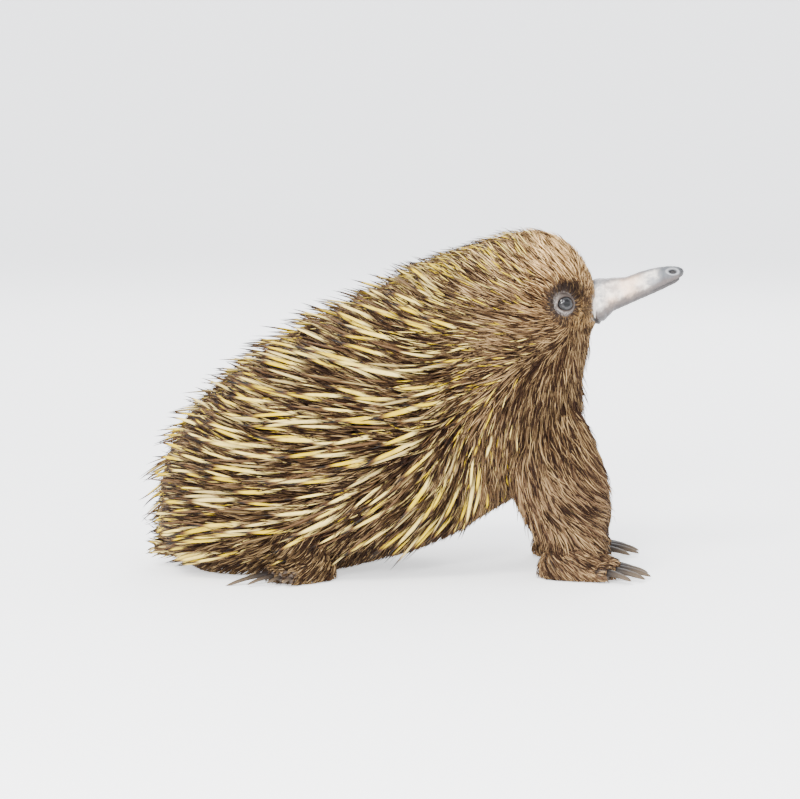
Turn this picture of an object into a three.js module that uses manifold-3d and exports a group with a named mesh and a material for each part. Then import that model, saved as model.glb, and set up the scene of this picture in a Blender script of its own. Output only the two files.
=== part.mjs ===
// A short-beaked echidna, life size, resting on its rump with the forequarters raised on the forelegs.
// Millimetres. +X is the way the beak points, +Y is the animal's left and +Z is up.
// The floor is z = 0, and the group is moved at the end so that the origin is under the middle of the animal.
import * as THREE from "three";
import { mergeVertices } from "three/addons/utils/BufferGeometryUtils.js";
import Module from "manifold-3d";

const wasm = await Module();
wasm.setup();

// Driving dimensions
const GAP = 0.3; // kept between two pieces that touch
const SHORTEST_EDGE = 0.02; // a join or a cut closes up anything smaller
const EYE = { x: 113.5, z: 201.5, radius: 7.5, sunk: 4.7, lid: 1.6 };
const EAR = { x: 92, z: 188, height: 20, width: 12, rim: 1.5 };
const BEAK = { mouth: 28, lip: 0.9, groove: 1.1, nostrilX: 193.5, nostril: 2.4 };
const FORELEG = { x: 112, y: 58, halfLength: 35, halfWidth: 26, ankle: 24 };
const FOREFOOT = { length: 52, halfWidth: 23, height: 34, claw: 24, clawWidth: 8.4 };
const HINDLEG = { x: -84, y: 74, radius: 21, ankle: 20 };
const HINDFOOT = { length: 46, halfWidth: 16, height: 30, claw: 17, clawWidth: 4.6, turn: 145 };
const TAIL = { x: -172, z: 21, length: 27, radius: 11 };
const COAT = { back: 18, flank: 13, rump: 14, fur: 3.5, leg: 4.5 }; // how far the tips stand off the core
const SPINE = { apart: 19.2, length: 39, radius: 3, sides: 3, sunk: 6, lowest: 14, highest: 42 }; // raised, in degrees
const LOCK = { apart: 23, length: 34, width: 17, thickness: 3, sunk: 4, bow: 110 };
const HEADROOM = 2; // the lowest that a spine or a lock hangs over the floor
const SEED = 7;

const RIGHT = -1;
const LEFT = 1;
const SIDES = { right: RIGHT, left: LEFT };
const UP = new THREE.Vector3(0, 0, 1);

// The trunk from rump to face: points on the back's line and the belly's line (x, z), half the width there,
// and the share of the height at which the section is widest.
const TRUNK = [
  { top: [-186, 48], bottom: [-186, 44], halfWidth: 2.5, widest: 0.5 },
  { top: [-182, 74], bottom: [-181, 19], halfWidth: 38, widest: 0.45 },
  { top: [-171, 103], bottom: [-165, 3], halfWidth: 64, widest: 0.42 },
  { top: [-149, 129], bottom: [-140, -4], halfWidth: 82, widest: 0.4 },
  { top: [-110, 160], bottom: [-92, -3], halfWidth: 94, widest: 0.4 },
  { top: [-62, 187], bottom: [-40, 7], halfWidth: 97, widest: 0.4 },
  { top: [-15, 209], bottom: [12, 22], halfWidth: 92, widest: 0.42 },
  { top: [28, 229], bottom: [60, 44], halfWidth: 81, widest: 0.44 },
  { top: [61, 244], bottom: [104, 76], halfWidth: 66, widest: 0.46 },
  { top: [88, 253], bottom: [121, 117], halfWidth: 51, widest: 0.48 },
  { top: [106, 249], bottom: [122, 147], halfWidth: 42, widest: 0.5 },
  { top: [118, 239], bottom: [126, 168], halfWidth: 34, widest: 0.5 },
  { top: [127, 228], bottom: [132, 183], halfWidth: 24, widest: 0.5 },
  { top: [133, 218], bottom: [137, 191], halfWidth: 14.5, widest: 0.5 },
];
const TRUNK_NODES = [ // the pieces of the trunk, and the station where each ends
  { name: "rump", end: 4 },
  { name: "back", end: 6 },
  { name: "shoulders", end: 7.4 },
  { name: "neck", end: 8.35 },
  { name: "head", end: null },
];

// The beak from the face to its tip, in the same way.
const BEAK_STATIONS = [
  { top: [133.4, 217.3], bottom: [137.2, 191.6], halfWidth: 13.8, widest: 0.5 },
  { top: [146, 218], bottom: [148, 196], halfWidth: 10.8, widest: 0.5 },
  { top: [158, 220.6], bottom: [157, 201], halfWidth: 9.2, widest: 0.5 },
  { top: [170, 225], bottom: [166, 206.5], halfWidth: 8, widest: 0.5 },
  { top: [183.5, 228.5], bottom: [178, 211.8], halfWidth: 7.1, widest: 0.5 },
  { top: [195, 229.6], bottom: [188.5, 216], halfWidth: 6, widest: 0.5 },
  { top: [200.8, 228], bottom: [197, 219.5], halfWidth: 4, widest: 0.5 },
  { top: [202.4, 225.6], bottom: [201.8, 223.6], halfWidth: 1, widest: 0.5 },
];

// The lie of the coat seen from the animal's right: x, z, and the way the tips point, in degrees up from +X.
const LIE = [
  [128, 230, 115], [98, 246, 135], [109, 215, 140], [79, 249, 140], [48, 234, 150], [3, 226, 157],
  [86, 204, 168], [64, 181, 172], [94, 181, 195], [33, 150, 200], [-28, 158, 164], [-20, 128, 177],
  [-88, 90, 178], [-149, 105, 160], [-164, 67, 169], [-180, 36, 175], [-149, 14, 180], [-12, 52, 200],
  [18, 52, 212], [41, 67, 230], [56, 52, 257], [71, 97, 255], [86, 128, 250], [109, 158, 262],
  [128, 173, 267], [124, 128, 285], [79, 59, 280], [109, 67, 292], [132, 52, 300],
];

// Solids

function vec(x, y, z) {
  return new THREE.Vector3(x, y, z);
}

// A closed geometry through rings of equal length, its ends closed on the poles given or on the rings' centres.
function loft(rings, startPole, endPole) {
  const centre = (ring) => ring.reduce((sum, p) => sum.add(p), vec(0, 0, 0)).divideScalar(ring.length);
  const last = rings.length - 1;
  const sides = rings[0].length;
  const points = [...rings.flat(), startPole ?? centre(rings[0]), endPole ?? centre(rings[last])];
  const at = (ring, side) => ring * sides + (side % sides);
  const faces = [];
  for (let side = 0; side < sides; side++) {
    for (let ring = 0; ring < last; ring++) {
      faces.push([at(ring, side), at(ring, side + 1), at(ring + 1, side)]);
      faces.push([at(ring, side + 1), at(ring + 1, side + 1), at(ring + 1, side)]);
    }
    faces.push([points.length - 2, at(0, side + 1), at(0, side)]);
    faces.push([points.length - 1, at(last, side), at(last, side + 1)]);
  }
  const volume = faces.reduce((sum, [a, b, c]) => {
    return sum + points[a].dot(vec(0, 0, 0).crossVectors(points[b], points[c]));
  }, 0);
  if (volume < 0) faces.forEach((face) => face.reverse());
  return new THREE.BufferGeometry().setFromPoints(points).setIndex(faces.flat());
}

// A ring of points round a centre, out along two half axes.
function ring(centre, across, up, sides) {
  return Array.from({ length: sides }, (_, side) => {
    const angle = (2 * Math.PI * side) / sides;
    return centre.clone().addScaledVector(up, Math.cos(angle)).addScaledVector(across, Math.sin(angle));
  });
}

// A three.js geometry as a solid that can be joined and cut.
function solidOf(geometry) {
  const bare = geometry.clone();
  bare.deleteAttribute("normal");
  bare.deleteAttribute("uv");
  const merged = mergeVertices(bare, 1e-4);
  return new wasm.Manifold(
    new wasm.Mesh({
      numProp: 3,
      vertProperties: new Float32Array(merged.attributes.position.array),
      triVerts: new Uint32Array(merged.index.array),
      tolerance: SHORTEST_EDGE,
    }),
  );
}

// The largest closed body of a solid.
function largest(solid) {
  return solid.decompose().sort((a, b) => b.volume() - a.volume())[0];
}

function geometryOf(solid) {
  const { vertProperties, triVerts } = solid.getMesh();
  const geometry = new THREE.BufferGeometry();
  geometry.setAttribute("position", new THREE.BufferAttribute(new Float32Array(vertProperties), 3));
  geometry.setIndex(new THREE.BufferAttribute(new Uint32Array(triVerts), 1));
  geometry.computeVertexNormals();
  return geometry;
}

// All of space on one side of a plane, as far as this animal reaches.
function beyond(point, normal) {
  const reach = 1000;
  const block = new THREE.BoxGeometry(reach, reach, reach);
  block.translate(0, 0, reach / 2);
  block.applyQuaternion(new THREE.Quaternion().setFromUnitVectors(UP, normal.clone().normalize()));
  block.translate(point.x, point.y, point.z);
  return solidOf(block);
}

const underFloor = beyond(vec(0, 0, 0), vec(0, 0, -1));

// A body between a top line and a bottom line in the middle plane, such as the trunk and the beak.
class Profile {
  constructor(stations) {
    const curve = (points) => new THREE.CatmullRomCurve3(points);
    this.last = stations.length - 1;
    this.topLine = curve(stations.map(({ top: [x, z] }) => vec(x, 0, z)));
    this.bottomLine = curve(stations.map(({ bottom: [x, z] }) => vec(x, 0, z)));
    this.girth = curve(stations.map((s, i) => vec(i * 10, s.halfWidth, s.widest * 10)));
  }

  // The section at a station number, which may lie between two stations.
  section(station) {
    const t = Math.min(Math.max(station / this.last, 0), 1);
    const top = this.topLine.getPoint(t);
    const bottom = this.bottomLine.getPoint(t);
    const girth = this.girth.getPoint(t);
    const middle = bottom.clone().lerp(top, girth.z / 10);
    const up = top.clone().sub(bottom).normalize();
    const forward = vec(up.z, 0, -up.x);
    return { top, bottom, middle, up, forward, halfWidth: girth.y };
  }

  // The point at a station and an angle, which runs from the top (0) down the animal's right side.
  point(station, angle) {
    const { top, bottom, middle, up, halfWidth } = this.section(station);
    const cos = Math.cos(angle);
    const sin = Math.sin(angle);
    const rise = cos > 0 ? cos * top.distanceTo(middle) : -(Math.abs(cos) ** 0.9) * bottom.distanceTo(middle);
    const out = Math.sign(sin) * Math.abs(sin) ** 0.95 * halfWidth;
    return middle.clone().addScaledVector(up, rise).add(vec(0, -out, 0));
  }

  normal(station, angle) {
    const step = 0.02;
    const near = Math.min(Math.max(station, step), this.last - step);
    const along = this.point(near + step, angle).sub(this.point(near - step, angle));
    const round = this.point(near, angle + step).sub(this.point(near, angle - step));
    return vec(0, 0, 0).crossVectors(round, along).normalize();
  }

  // The closed geometry, with each point moved out by grow(point, normal).
  geometry(rings, sides, grow = () => 0) {
    const moved = (station, angle) => {
      const point = this.point(station, angle);
      const normal = this.normal(station, angle);
      return point.addScaledVector(normal, grow(point, normal));
    };
    const grid = Array.from({ length: rings + 1 }, (_, i) => {
      const station = (this.last * i) / rings;
      return Array.from({ length: sides }, (_, side) => moved(station, (2 * Math.PI * side) / sides));
    });
    return loft(grid);
  }

  // The place on one side of the surface that is nearest to (x, z) seen from the side.
  nearest(x, z, side) {
    let best = { distance: Infinity };
    for (let station = 0; station <= this.last; station += 0.05) {
      for (let angle = 0.05; angle < Math.PI; angle += 0.05) {
        const point = this.point(station, -side * angle);
        const distance = Math.hypot(point.x - x, point.z - z);
        if (distance < best.distance) best = { distance, station, angle: -side * angle, point };
      }
    }
    return { ...best, normal: this.normal(best.station, best.angle) };
  }

  // Places set about evenly over the surface, in staggered rows: station, angle, point and normal.
  spread(along, apart, from, to) {
    const places = [];
    const rowsPerStation = (station) => {
      return along / this.point(station - 0.5, 1.2).distanceTo(this.point(station + 0.5, 1.2));
    };
    let odd = false;
    for (let station = from; station < to; station += rowsPerStation(station)) {
      odd = !odd;
      for (const side of [1, -1]) {
        let next = odd ? 0 : apart / 2;
        let walked = 0;
        const step = 0.02;
        for (let angle = 0; angle < Math.PI; angle += step) {
          if (walked >= next && !(side < 0 && angle === 0)) {
            const point = this.point(station, side * angle);
            places.push({ station, angle: side * angle, point, normal: this.normal(station, side * angle) });
            next += apart;
          }
          walked += this.point(station, angle + step).distanceTo(this.point(station, angle));
        }
      }
    }
    return places;
  }
}

// The trunk

const trunk = new Profile(TRUNK);
const beakProfile = new Profile(BEAK_STATIONS);
const TRUNK_RINGS = 30;
const TRUNK_SIDES = 26;

// How far spines have taken over from fur at a point: 0 on the face, chest and belly, 1 on the back.
function spininess(point, normal) {
  const front = 66 + 22 * THREE.MathUtils.smoothstep(point.z, 210, 250);
  const backward = THREE.MathUtils.smoothstep(front - point.x, 0, 60);
  return backward * THREE.MathUtils.smoothstep(normal.z, -0.6, -0.15);
}

// How far the tips of the spines stand off the core.
function spineReach(normal) {
  const level = THREE.MathUtils.lerp(COAT.flank, COAT.back, Math.max(normal.z, 0));
  return THREE.MathUtils.lerp(level, COAT.rump, Math.max(-normal.x, 0));
}

// How far the short fur of the head stands off, which ends at the bare beak.
function shortFur(point) {
  const face = THREE.MathUtils.smoothstep(point.x, 84, 104) * THREE.MathUtils.smoothstep(point.z, 150, 180);
  return COAT.fur * face * (1 - THREE.MathUtils.smoothstep(point.x, 118, 134));
}

const wholeTrunk = solidOf(trunk.geometry(TRUNK_RINGS, TRUNK_SIDES, shortFur));
const roomForTrunk = solidOf(trunk.geometry(TRUNK_RINGS, TRUNK_SIDES, (point) => shortFur(point) + GAP));

// The room of the trunk past both ends of one of its pieces.
function roomPast(index) {
  const past = (station, way) => {
    const { middle, forward } = trunk.section(station);
    const normal = forward.clone().multiplyScalar(way);
    return roomForTrunk.intersect(beyond(middle.clone().addScaledVector(normal, -GAP / 2), normal));
  };
  const ends = [];
  if (index > 0) ends.push(past(TRUNK_NODES[index - 1].end, -1));
  if (index < TRUNK_NODES.length - 1) ends.push(past(TRUNK_NODES[index].end, 1));
  return wasm.Manifold.union(ends);
}

// Head

function eyeCentre(side) {
  const { point, normal } = trunk.nearest(EYE.x, EYE.z, side);
  const surface = point.addScaledVector(normal, shortFur(point));
  return { centre: surface.clone().addScaledVector(normal, -EYE.sunk), normal };
}

function eyeball(side, grow = 0) {
  const { centre } = eyeCentre(side);
  const ball = new THREE.SphereGeometry(EYE.radius + grow, 12, 8);
  ball.translate(centre.x, centre.y, centre.z);
  return solidOf(ball);
}

function lids(side) {
  const { centre, normal } = eyeCentre(side);
  const opening = Math.sqrt(EYE.radius ** 2 - EYE.sunk ** 2) + EYE.lid * 0.5;
  const rim = new THREE.TorusGeometry(opening, EYE.lid, 5, 14);
  rim.scale(1, 0.88, 1);
  rim.applyQuaternion(new THREE.Quaternion().setFromUnitVectors(UP, normal));
  const at = centre.clone().addScaledVector(normal, EYE.sunk - 0.2);
  rim.translate(at.x, at.y, at.z);
  return solidOf(rim);
}

// A low half cup of gristle, open to the front, standing on the side of the head.
function ear(side) {
  const { point, normal } = trunk.nearest(EAR.x, EAR.z, side);
  const surface = point.addScaledVector(normal, shortFur(point));
  const up = vec(0.25, 0, 1).projectOnPlane(normal).normalize();
  const back = vec(0, 0, 0).crossVectors(up, normal).multiplyScalar(-side).normalize();
  if (back.x > 0) back.negate();
  const steps = 9;
  const rings = Array.from({ length: steps }, (_, i) => {
    const turn = THREE.MathUtils.lerp(-1.9, 1.9, i / (steps - 1));
    const end = 1 - 0.45 * Math.abs(turn / 1.9) ** 3;
    const out = back.clone().multiplyScalar(Math.cos(turn) * EAR.width * 0.5)
      .addScaledVector(up, Math.sin(turn) * EAR.height * 0.5);
    const centre = surface.clone().add(out).addScaledVector(normal, EAR.rim);
    return ring(centre, out.normalize().multiplyScalar(EAR.rim * end), normal.clone().multiplyScalar(3 * end), 6);
  });
  return solidOf(loft(rings)).subtract(roomForTrunk);
}

function beak() {
  const whole = solidOf(beakProfile.geometry(16, 12));
  const core = solidOf(beakProfile.geometry(16, 12, () => -BEAK.groove));
  const tip = beakProfile.section(beakProfile.last);
  const lip = new THREE.BoxGeometry(BEAK.mouth, 40, BEAK.lip);
  lip.rotateY(THREE.MathUtils.degToRad(-24));
  lip.translate(tip.middle.x - BEAK.mouth * 0.42, 0, tip.middle.z - 8.2);
  const slit = solidOf(lip).subtract(core);
  const nostrils = Object.values(SIDES).map((side) => {
    const { point } = beakProfile.nearest(BEAK.nostrilX, 226, side);
    const pit = new THREE.SphereGeometry(1, 8, 6);
    pit.scale(BEAK.nostril, 1.3, 1.3);
    pit.rotateY(-0.3);
    pit.translate(point.x, point.y, point.z);
    return solidOf(pit);
  });
  return whole.subtract(wasm.Manifold.union([slit, ...nostrils]));
}

// Legs and feet

// The rings of a foreleg's core, from the shoulder down: centre, half length and half width.
function forelegRings(side) {
  const y = side * FORELEG.y;
  const { x, halfLength, halfWidth, ankle } = FORELEG;
  return [
    { at: vec(84, y * 0.5, 146), long: 27, wide: 16 },
    { at: vec(89, y * 0.66, 118), long: 38, wide: 24 },
    { at: vec(98, y * 0.86, 88), long: 41, wide: 27 },
    { at: vec(107, y * 0.97, 58), long: halfLength + 3, wide: halfWidth + 1 },
    { at: vec(x, y, 38), long: halfLength - 3, wide: halfWidth },
    { at: vec(x + 5, y, ankle), long: halfLength - 11, wide: halfWidth - 3 },
  ].map(({ at, long, wide }) => {
    const [length, width] = [long - COAT.leg, wide - COAT.leg];
    const tilt = at.z > ankle ? -0.12 : 0;
    return { at, across: vec(0, width, 0), along: vec(length, 0, length * tilt) };
  });
}

function hindlegRings(side) {
  const { x, radius, ankle } = HINDLEG;
  const y = side * HINDLEG.y;
  return [
    { at: vec(x - 12, y * 0.7, 60), size: radius * 0.9 },
    { at: vec(x - 4, y * 0.95, 38), size: radius * 1.1 },
    { at: vec(x, y, ankle), size: radius * 0.8 },
  ].map(({ at, size }) => ({ at, across: vec(0, size, 0), along: vec(size * 1.15, 0, 0) }));
}

// A leg's core, which ends flat at the ankle.
function leg(rings, sides) {
  return solidOf(loft(rings.map(({ at, across, along }) => ring(at, across, along, sides))));
}

// A flat-soled foot along +X from its heel at the origin, and its claws, each set against the end of its toe.
function footPieces({ length, halfWidth, height, claw, clawWidth }, clawShares, spread) {
  const rings = [
    [-0.06, 0.5, 0.55],
    [0.1, 0.86, 0.95],
    [0.4, 1, 0.95],
    [0.66, 0.98, 0.62],
    [0.84, 0.84, 0.38],
  ].map(([x, wide, high]) => {
    const tall = height * high;
    return ring(vec(length * x, 0, tall * 0.42), vec(0, halfWidth * wide, 0), vec(0, 0, tall * 0.58), 10);
  });
  const toes = [];
  const claws = [];
  clawShares.forEach((share, i) => {
    const across = (i / (clawShares.length - 1)) * 2 - 1;
    const turn = across * spread;
    const ahead = vec(Math.cos(turn), Math.sin(turn), 0);
    const sideways = vec(-ahead.y, ahead.x, 0);
    const root = vec(length * (0.76 - 0.1 * across ** 2), across * halfWidth * 0.74, height * 0.2);
    const width = clawWidth * (0.72 + 0.28 * share);
    const toeLength = length * 0.24;
    const toeEnd = root.clone().addScaledVector(ahead, toeLength);
    const toe = [[0, 0.75, 0.19], [0.6, 0.78, 0.19], [1, 0.56, 0.13]].map(([along, wide, high]) => {
      const centre = root.clone().addScaledVector(ahead, toeLength * along);
      return ring(centre, sideways.clone().multiplyScalar(width * wide), vec(0, 0, height * high), 6);
    });
    toes.push(solidOf(loft(toe)));
    const clawLength = claw * share;
    const bend = [[0, 0.5, 0], [0.4, 0.5, -0.03], [0.8, 0.38, -0.11]].map(([along, size, drop]) => {
      const centre = toeEnd.clone().addScaledVector(ahead, GAP + clawLength * along);
      centre.z += clawLength * drop;
      return ring(centre, sideways.clone().multiplyScalar(width * size), vec(0, 0, width * size * 0.55), 6);
    });
    const tip = toeEnd.clone().addScaledVector(ahead, GAP + clawLength);
    tip.z = Math.max(toeEnd.z - clawLength * 0.2, 1);
    claws.push(solidOf(loft(bend, undefined, tip)));
  });
  return { foot: wasm.Manifold.union([solidOf(loft(rings)), ...toes]), claws };
}

// Turns and moves a foot's solid to its leg, mirrored for the left side.
function placed(solid, side, x, y, turn, top) {
  const mesh = solid.getMesh();
  const geometry = new THREE.BufferGeometry();
  geometry.setAttribute("position", new THREE.BufferAttribute(new Float32Array(mesh.vertProperties), 3));
  const index = Array.from(mesh.triVerts);
  geometry.setIndex(side === RIGHT ? index : index.reverse());
  geometry.rotateZ(THREE.MathUtils.degToRad(-turn));
  geometry.translate(x, -y, 0);
  geometry.scale(1, -side, 1);
  return solidOf(geometry).subtract(underFloor).subtract(beyond(vec(0, 0, top - GAP), UP));
}

function footAndClaws(name, word, foot, clawShares, spread, x, y, turn, ankle) {
  const side = SIDES[word];
  const { foot: sole, claws } = footPieces(foot, clawShares, spread);
  const heel = vec(-foot.length * 0.4, 0, 0).applyAxisAngle(UP, THREE.MathUtils.degToRad(-turn));
  const set = (solid) => placed(solid, side, x + heel.x, y - heel.y, turn, ankle).subtract(roomForTrunk);
  const pieces = { [`${name}foot_${word}`]: set(sole) };
  claws.forEach((claw, i) => {
    pieces[`${name}claw_${word}_${i + 1}`] = set(claw);
  });
  return pieces;
}

function tail() {
  const { x, z, length, radius } = TAIL;
  const stub = [[14, 1], [0, 0.95], [-length * 0.55, 0.72]].map(([along, share]) => {
    return ring(vec(x + along, 0, z + along * 0.25), vec(0, radius * share * 1.1, 0), vec(0, 0, radius * share), 12);
  });
  const end = vec(x - length, 0, z - length * 0.25);
  return solidOf(loft(stub, undefined, end)).subtract(roomForTrunk);
}

// The coat

// A number from 0 to 1 on each call, the same row of them for the same seed.
function numbersFrom(seed) {
  let state = seed;
  return () => {
    state = (state * 1664525 + 1013904223) % 4294967296;
    return state / 4294967296;
  };
}

const draw = numbersFrom(SEED);
const varied = (share) => 1 + share * (2 * draw() - 1);

function lieAt(point) {
  const sum = vec(0, 0, 0);
  for (const [x, z, degrees] of LIE) {
    const weight = 1 / (Math.hypot(point.x - x, point.z - z) + 8) ** 3;
    const angle = THREE.MathUtils.degToRad(degrees);
    sum.add(vec(Math.cos(angle), 0, Math.sin(angle)).multiplyScalar(weight));
  }
  return sum.normalize();
}

// The way of the coat along the surface, which runs down where the surface faces the way the coat points.
function alongSurface(point, normal) {
  const flat = lieAt(point).projectOnPlane(normal);
  const down = vec(0, 0, -1).projectOnPlane(normal);
  return flat.addScaledVector(down, 0.25 * Math.max(-normal.x, 0)).normalize();
}

// A spine, keeled along its back and drawn to a point.
function spine(root, direction, length, radius) {
  const across = vec(0, 0, 0).crossVectors(direction, Math.abs(direction.z) < 0.9 ? UP : vec(0, 1, 0)).normalize();
  const up = vec(0, 0, 0).crossVectors(across, direction);
  const foot = root.clone().addScaledVector(direction, -SPINE.sunk);
  const base = ring(foot, across.multiplyScalar(radius), up.multiplyScalar(radius), SPINE.sides);
  return solidOf(loft([base], undefined, root.clone().addScaledVector(direction, length)));
}

// A spine that grows from the trunk at a place, raised so that its tip ends at the coat's reach.
function trunkSpine({ point, normal }, shorter, higher) {
  const size = THREE.MathUtils.lerp(0.55, 1, spininess(point, normal));
  const reach = spineReach(normal) * size * shorter;
  const full = SPINE.length * size * shorter * varied(0.1);
  const needed = Math.asin(Math.min(reach / full, 1));
  const wished = Math.asin(THREE.MathUtils.clamp(lieAt(point).dot(normal), 0, 1));
  const [lowest, highest] = [SPINE.lowest, SPINE.highest].map(THREE.MathUtils.degToRad);
  const raise = THREE.MathUtils.clamp(Math.max(needed, wished), lowest, highest) + higher;
  const turn = THREE.MathUtils.degToRad(6 * (2 * draw() - 1));
  const along = alongSurface(point, normal).applyAxisAngle(normal, turn);
  const direction = along.multiplyScalar(Math.cos(raise)).addScaledVector(normal, Math.sin(raise));
  return spine(point, direction, Math.min(full, reach / Math.sin(raise)), SPINE.radius * size * varied(0.1));
}

// A lock of fur: a flat tapered blade that leaves its root along the lie and bends in with the body.
function lock({ point, normal, along }, size, lift) {
  const across = vec(0, 0, 0).crossVectors(normal, along);
  const length = LOCK.length * size;
  const centreAt = (share, height) => {
    const ahead = share * length;
    const rise = height - ahead ** 2 / (2 * LOCK.bow);
    return point.clone().addScaledVector(along, ahead).addScaledVector(normal, rise);
  };
  const rings = [[-0.14, -LOCK.sunk, 0.7, 0.9], [0.3, 1.2 + lift * 0.4, 1, 1], [0.68, 2.4 + lift * 0.8, 0.74, 0.75]];
  const sections = rings.map(([share, height, wide, thick]) => {
    const half = LOCK.width * size * wide * 0.5;
    const deep = normal.clone().multiplyScalar(LOCK.thickness * thick * 0.5);
    return ring(centreAt(share, height), across.clone().multiplyScalar(half), deep, 4);
  });
  return solidOf(loft(sections, undefined, centreAt(1, 2.6 + lift)));
}

// The pieces of coat that are set so far, and the solids without a coat that they keep clear of.
const coat = [];
const bareSolids = [];

function near(a, b, margin) {
  return [0, 1, 2].every((axis) => a.min[axis] - margin < b.max[axis] && b.min[axis] - margin < a.max[axis]);
}

// Sets the first of some shapes of a coat piece that is clear of the floor and of every other node.
function grow(node, shapes) {
  for (const shape of shapes) {
    const solid = shape();
    const box = solid.boundingBox();
    const others = [...coat, ...bareSolids].filter((other) => other.node !== node && near(box, other.box, GAP));
    const blocked = box.min[2] < HEADROOM || others.some((other) => other.solid.minGap(solid, 1) < GAP);
    if (!blocked) {
      coat.push({ node, solid, box });
      return;
    }
  }
}

function keepClearOf(node, solid) {
  bareSolids.push({ node, solid, box: solid.boundingBox() });
}

// A node's core joined with its own coat pieces, then cut clear of the room that others take.
function coated(node, core, room) {
  const pieces = coat.filter((piece) => piece.node === node).map(({ solid }) => solid);
  return largest(wasm.Manifold.union([core, ...pieces]).subtract(room));
}

const nodeAt = (station) => TRUNK_NODES.find(({ end }) => end === null || station < end).name;

function growSpines() {
  for (const place of trunk.spread(SPINE.apart, SPINE.apart, 0.55, 9.3)) {
    if (spininess(place.point, place.normal) < 0.1) continue;
    const tries = [[1, 0], [1, 0.1], [0.8, 0.05], [0.65, 0.15]];
    grow(nodeAt(place.station), tries.map(([shorter, higher]) => () => trunkSpine(place, shorter, higher)));
  }
}

function growTrunkLocks() {
  for (const place of trunk.spread(LOCK.apart * 1.2, LOCK.apart, 2.6, 12)) {
    const { point, normal } = place;
    if (spininess(point, normal) >= 0.1 || shortFur(point) > 0.4 * COAT.fur || point.z < 14) continue;
    if (place.station < 6.5 && normal.z < -0.8) continue;
    const shaped = { point, normal, along: alongSurface(point, normal) };
    const tries = [[1, 1.5], [0.85, 0.5], [0.7, 0]];
    grow(nodeAt(place.station), tries.map(([size, lift]) => () => lock(shaped, size * varied(0.08), lift)));
  }
}

// Locks in staggered rows down the outside of a leg, from one of its rings to another.
function growLegLocks(node, rings, from, to, rows, count) {
  for (let row = 0; row < rows; row++) {
    const level = THREE.MathUtils.lerp(from, to, row / (rows - 1));
    const upper = rings[Math.floor(level)];
    const lower = rings[Math.min(Math.floor(level) + 1, rings.length - 1)];
    const share = level - Math.floor(level);
    const mix = (key) => upper[key].clone().lerp(lower[key], share);
    for (let i = 0; i < count; i++) {
      const angle = (2 * Math.PI * (i + (row % 2) / 2)) / count;
      const centre = mix("at");
      const point = centre.clone().addScaledVector(mix("along"), Math.cos(angle))
        .addScaledVector(mix("across"), Math.sin(angle));
      const normal = vec(Math.cos(angle) / mix("along").length(), Math.sin(angle) / mix("across").y, 0).normalize();
      const below = lower.at.clone().sub(upper.at).add(vec(4, 0, 0));
      const along = below.projectOnPlane(normal).normalize();
      const tries = [[0.9, 1.5], [0.75, 1.5], [0.6, 2.5]];
      grow(node, tries.map(([size, lift]) => () => lock({ point, normal, along }, size * varied(0.08), lift)));
    }
  }
}

// Assembly

const colours = {
  coat: [0x6e5233, 0.9],
  face: [0x8a6b45, 0.9],
  beak: [0xb3aaa0, 0.55],
  skin: [0x6b5a4c, 0.8],
  eye: [0x14110f, 0.12],
  claw: [0x5a5048, 0.45],
};
const group = new THREE.Group();

function add(name, solid, finish) {
  const [color, roughness] = colours[finish];
  const material = new THREE.MeshStandardMaterial({ color, roughness, metalness: 0 });
  const mesh = new THREE.Mesh(geometryOf(largest(solid)), material);
  mesh.name = name;
  group.add(mesh);
}

const bare = { tail: tail(), beak: beak() };
const legs = {};
for (const [word, side] of Object.entries(SIDES)) {
  bare[`eye_${word}`] = eyeball(side);
  bare[`ear_${word}`] = ear(side);
  legs[`foreleg_${word}`] = { rings: forelegRings(side), sides: 14 };
  legs[`hindleg_${word}`] = { rings: hindlegRings(side), sides: 12 };
  Object.assign(bare, footAndClaws("fore", word, FOREFOOT, [0.8, 0.95, 1, 0.95, 0.78], 0.42,
    FORELEG.x + 8, FORELEG.y, 8, FORELEG.ankle));
  Object.assign(bare, footAndClaws("hind", word, HINDFOOT, [0.6, 2, 1.3, 0.8, 0.6], 0.4,
    HINDLEG.x, HINDLEG.y, HINDFOOT.turn, HINDLEG.ankle));
}
for (const [name, solid] of Object.entries(bare)) keepClearOf(name, solid);
for (const [name, shape] of Object.entries(legs)) {
  shape.core = leg(shape.rings, shape.sides);
  keepClearOf(name, shape.core.subtract(roomForTrunk));
}

growSpines();
growTrunkLocks();
for (const [name, { rings }] of Object.entries(legs)) {
  if (name.startsWith("fore")) growLegLocks(name, rings, 1, 4.1, 4, 8);
  else growLegLocks(name, rings, 0.7, 1.3, 2, 6);
}

const lidded = wasm.Manifold.union([wholeTrunk, lids(RIGHT), lids(LEFT)])
  .subtract(eyeball(RIGHT, GAP)).subtract(eyeball(LEFT, GAP));
TRUNK_NODES.forEach(({ name }, index) => {
  const whole = coated(name, lidded, roomPast(index));
  add(name, whole.subtract(underFloor), name === "head" ? "face" : "coat");
});
for (const [name, { core }] of Object.entries(legs)) add(name, coated(name, core, roomForTrunk), "coat");
for (const [name, solid] of Object.entries(bare)) {
  const finish = ["beak", "eye", "claw"].find((word) => name.includes(word));
  add(name, solid, finish ?? "skin");
}

const box = new THREE.Box3().setFromObject(group);
const middle = box.getCenter(vec(0, 0, 0));
group.position.set(-middle.x, -middle.y, -box.min.z);

export default group;
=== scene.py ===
"""A life-size still model of a short-beaked echidna: skin, spines, fur, beak, eyes and claws on its frame.

Shapes are drawn in millimetres in the body's own frame, where x runs along the body towards the beak, y is
the animal's left and z is up from the floor, and go into Blender in metres.
"""
import logging
import math
from dataclasses import dataclass, field
from enum import Enum
from typing import Callable, Sequence, Union

import bmesh
import bpy
import numpy as np
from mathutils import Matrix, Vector
from mathutils.bvhtree import BVHTree


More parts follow.
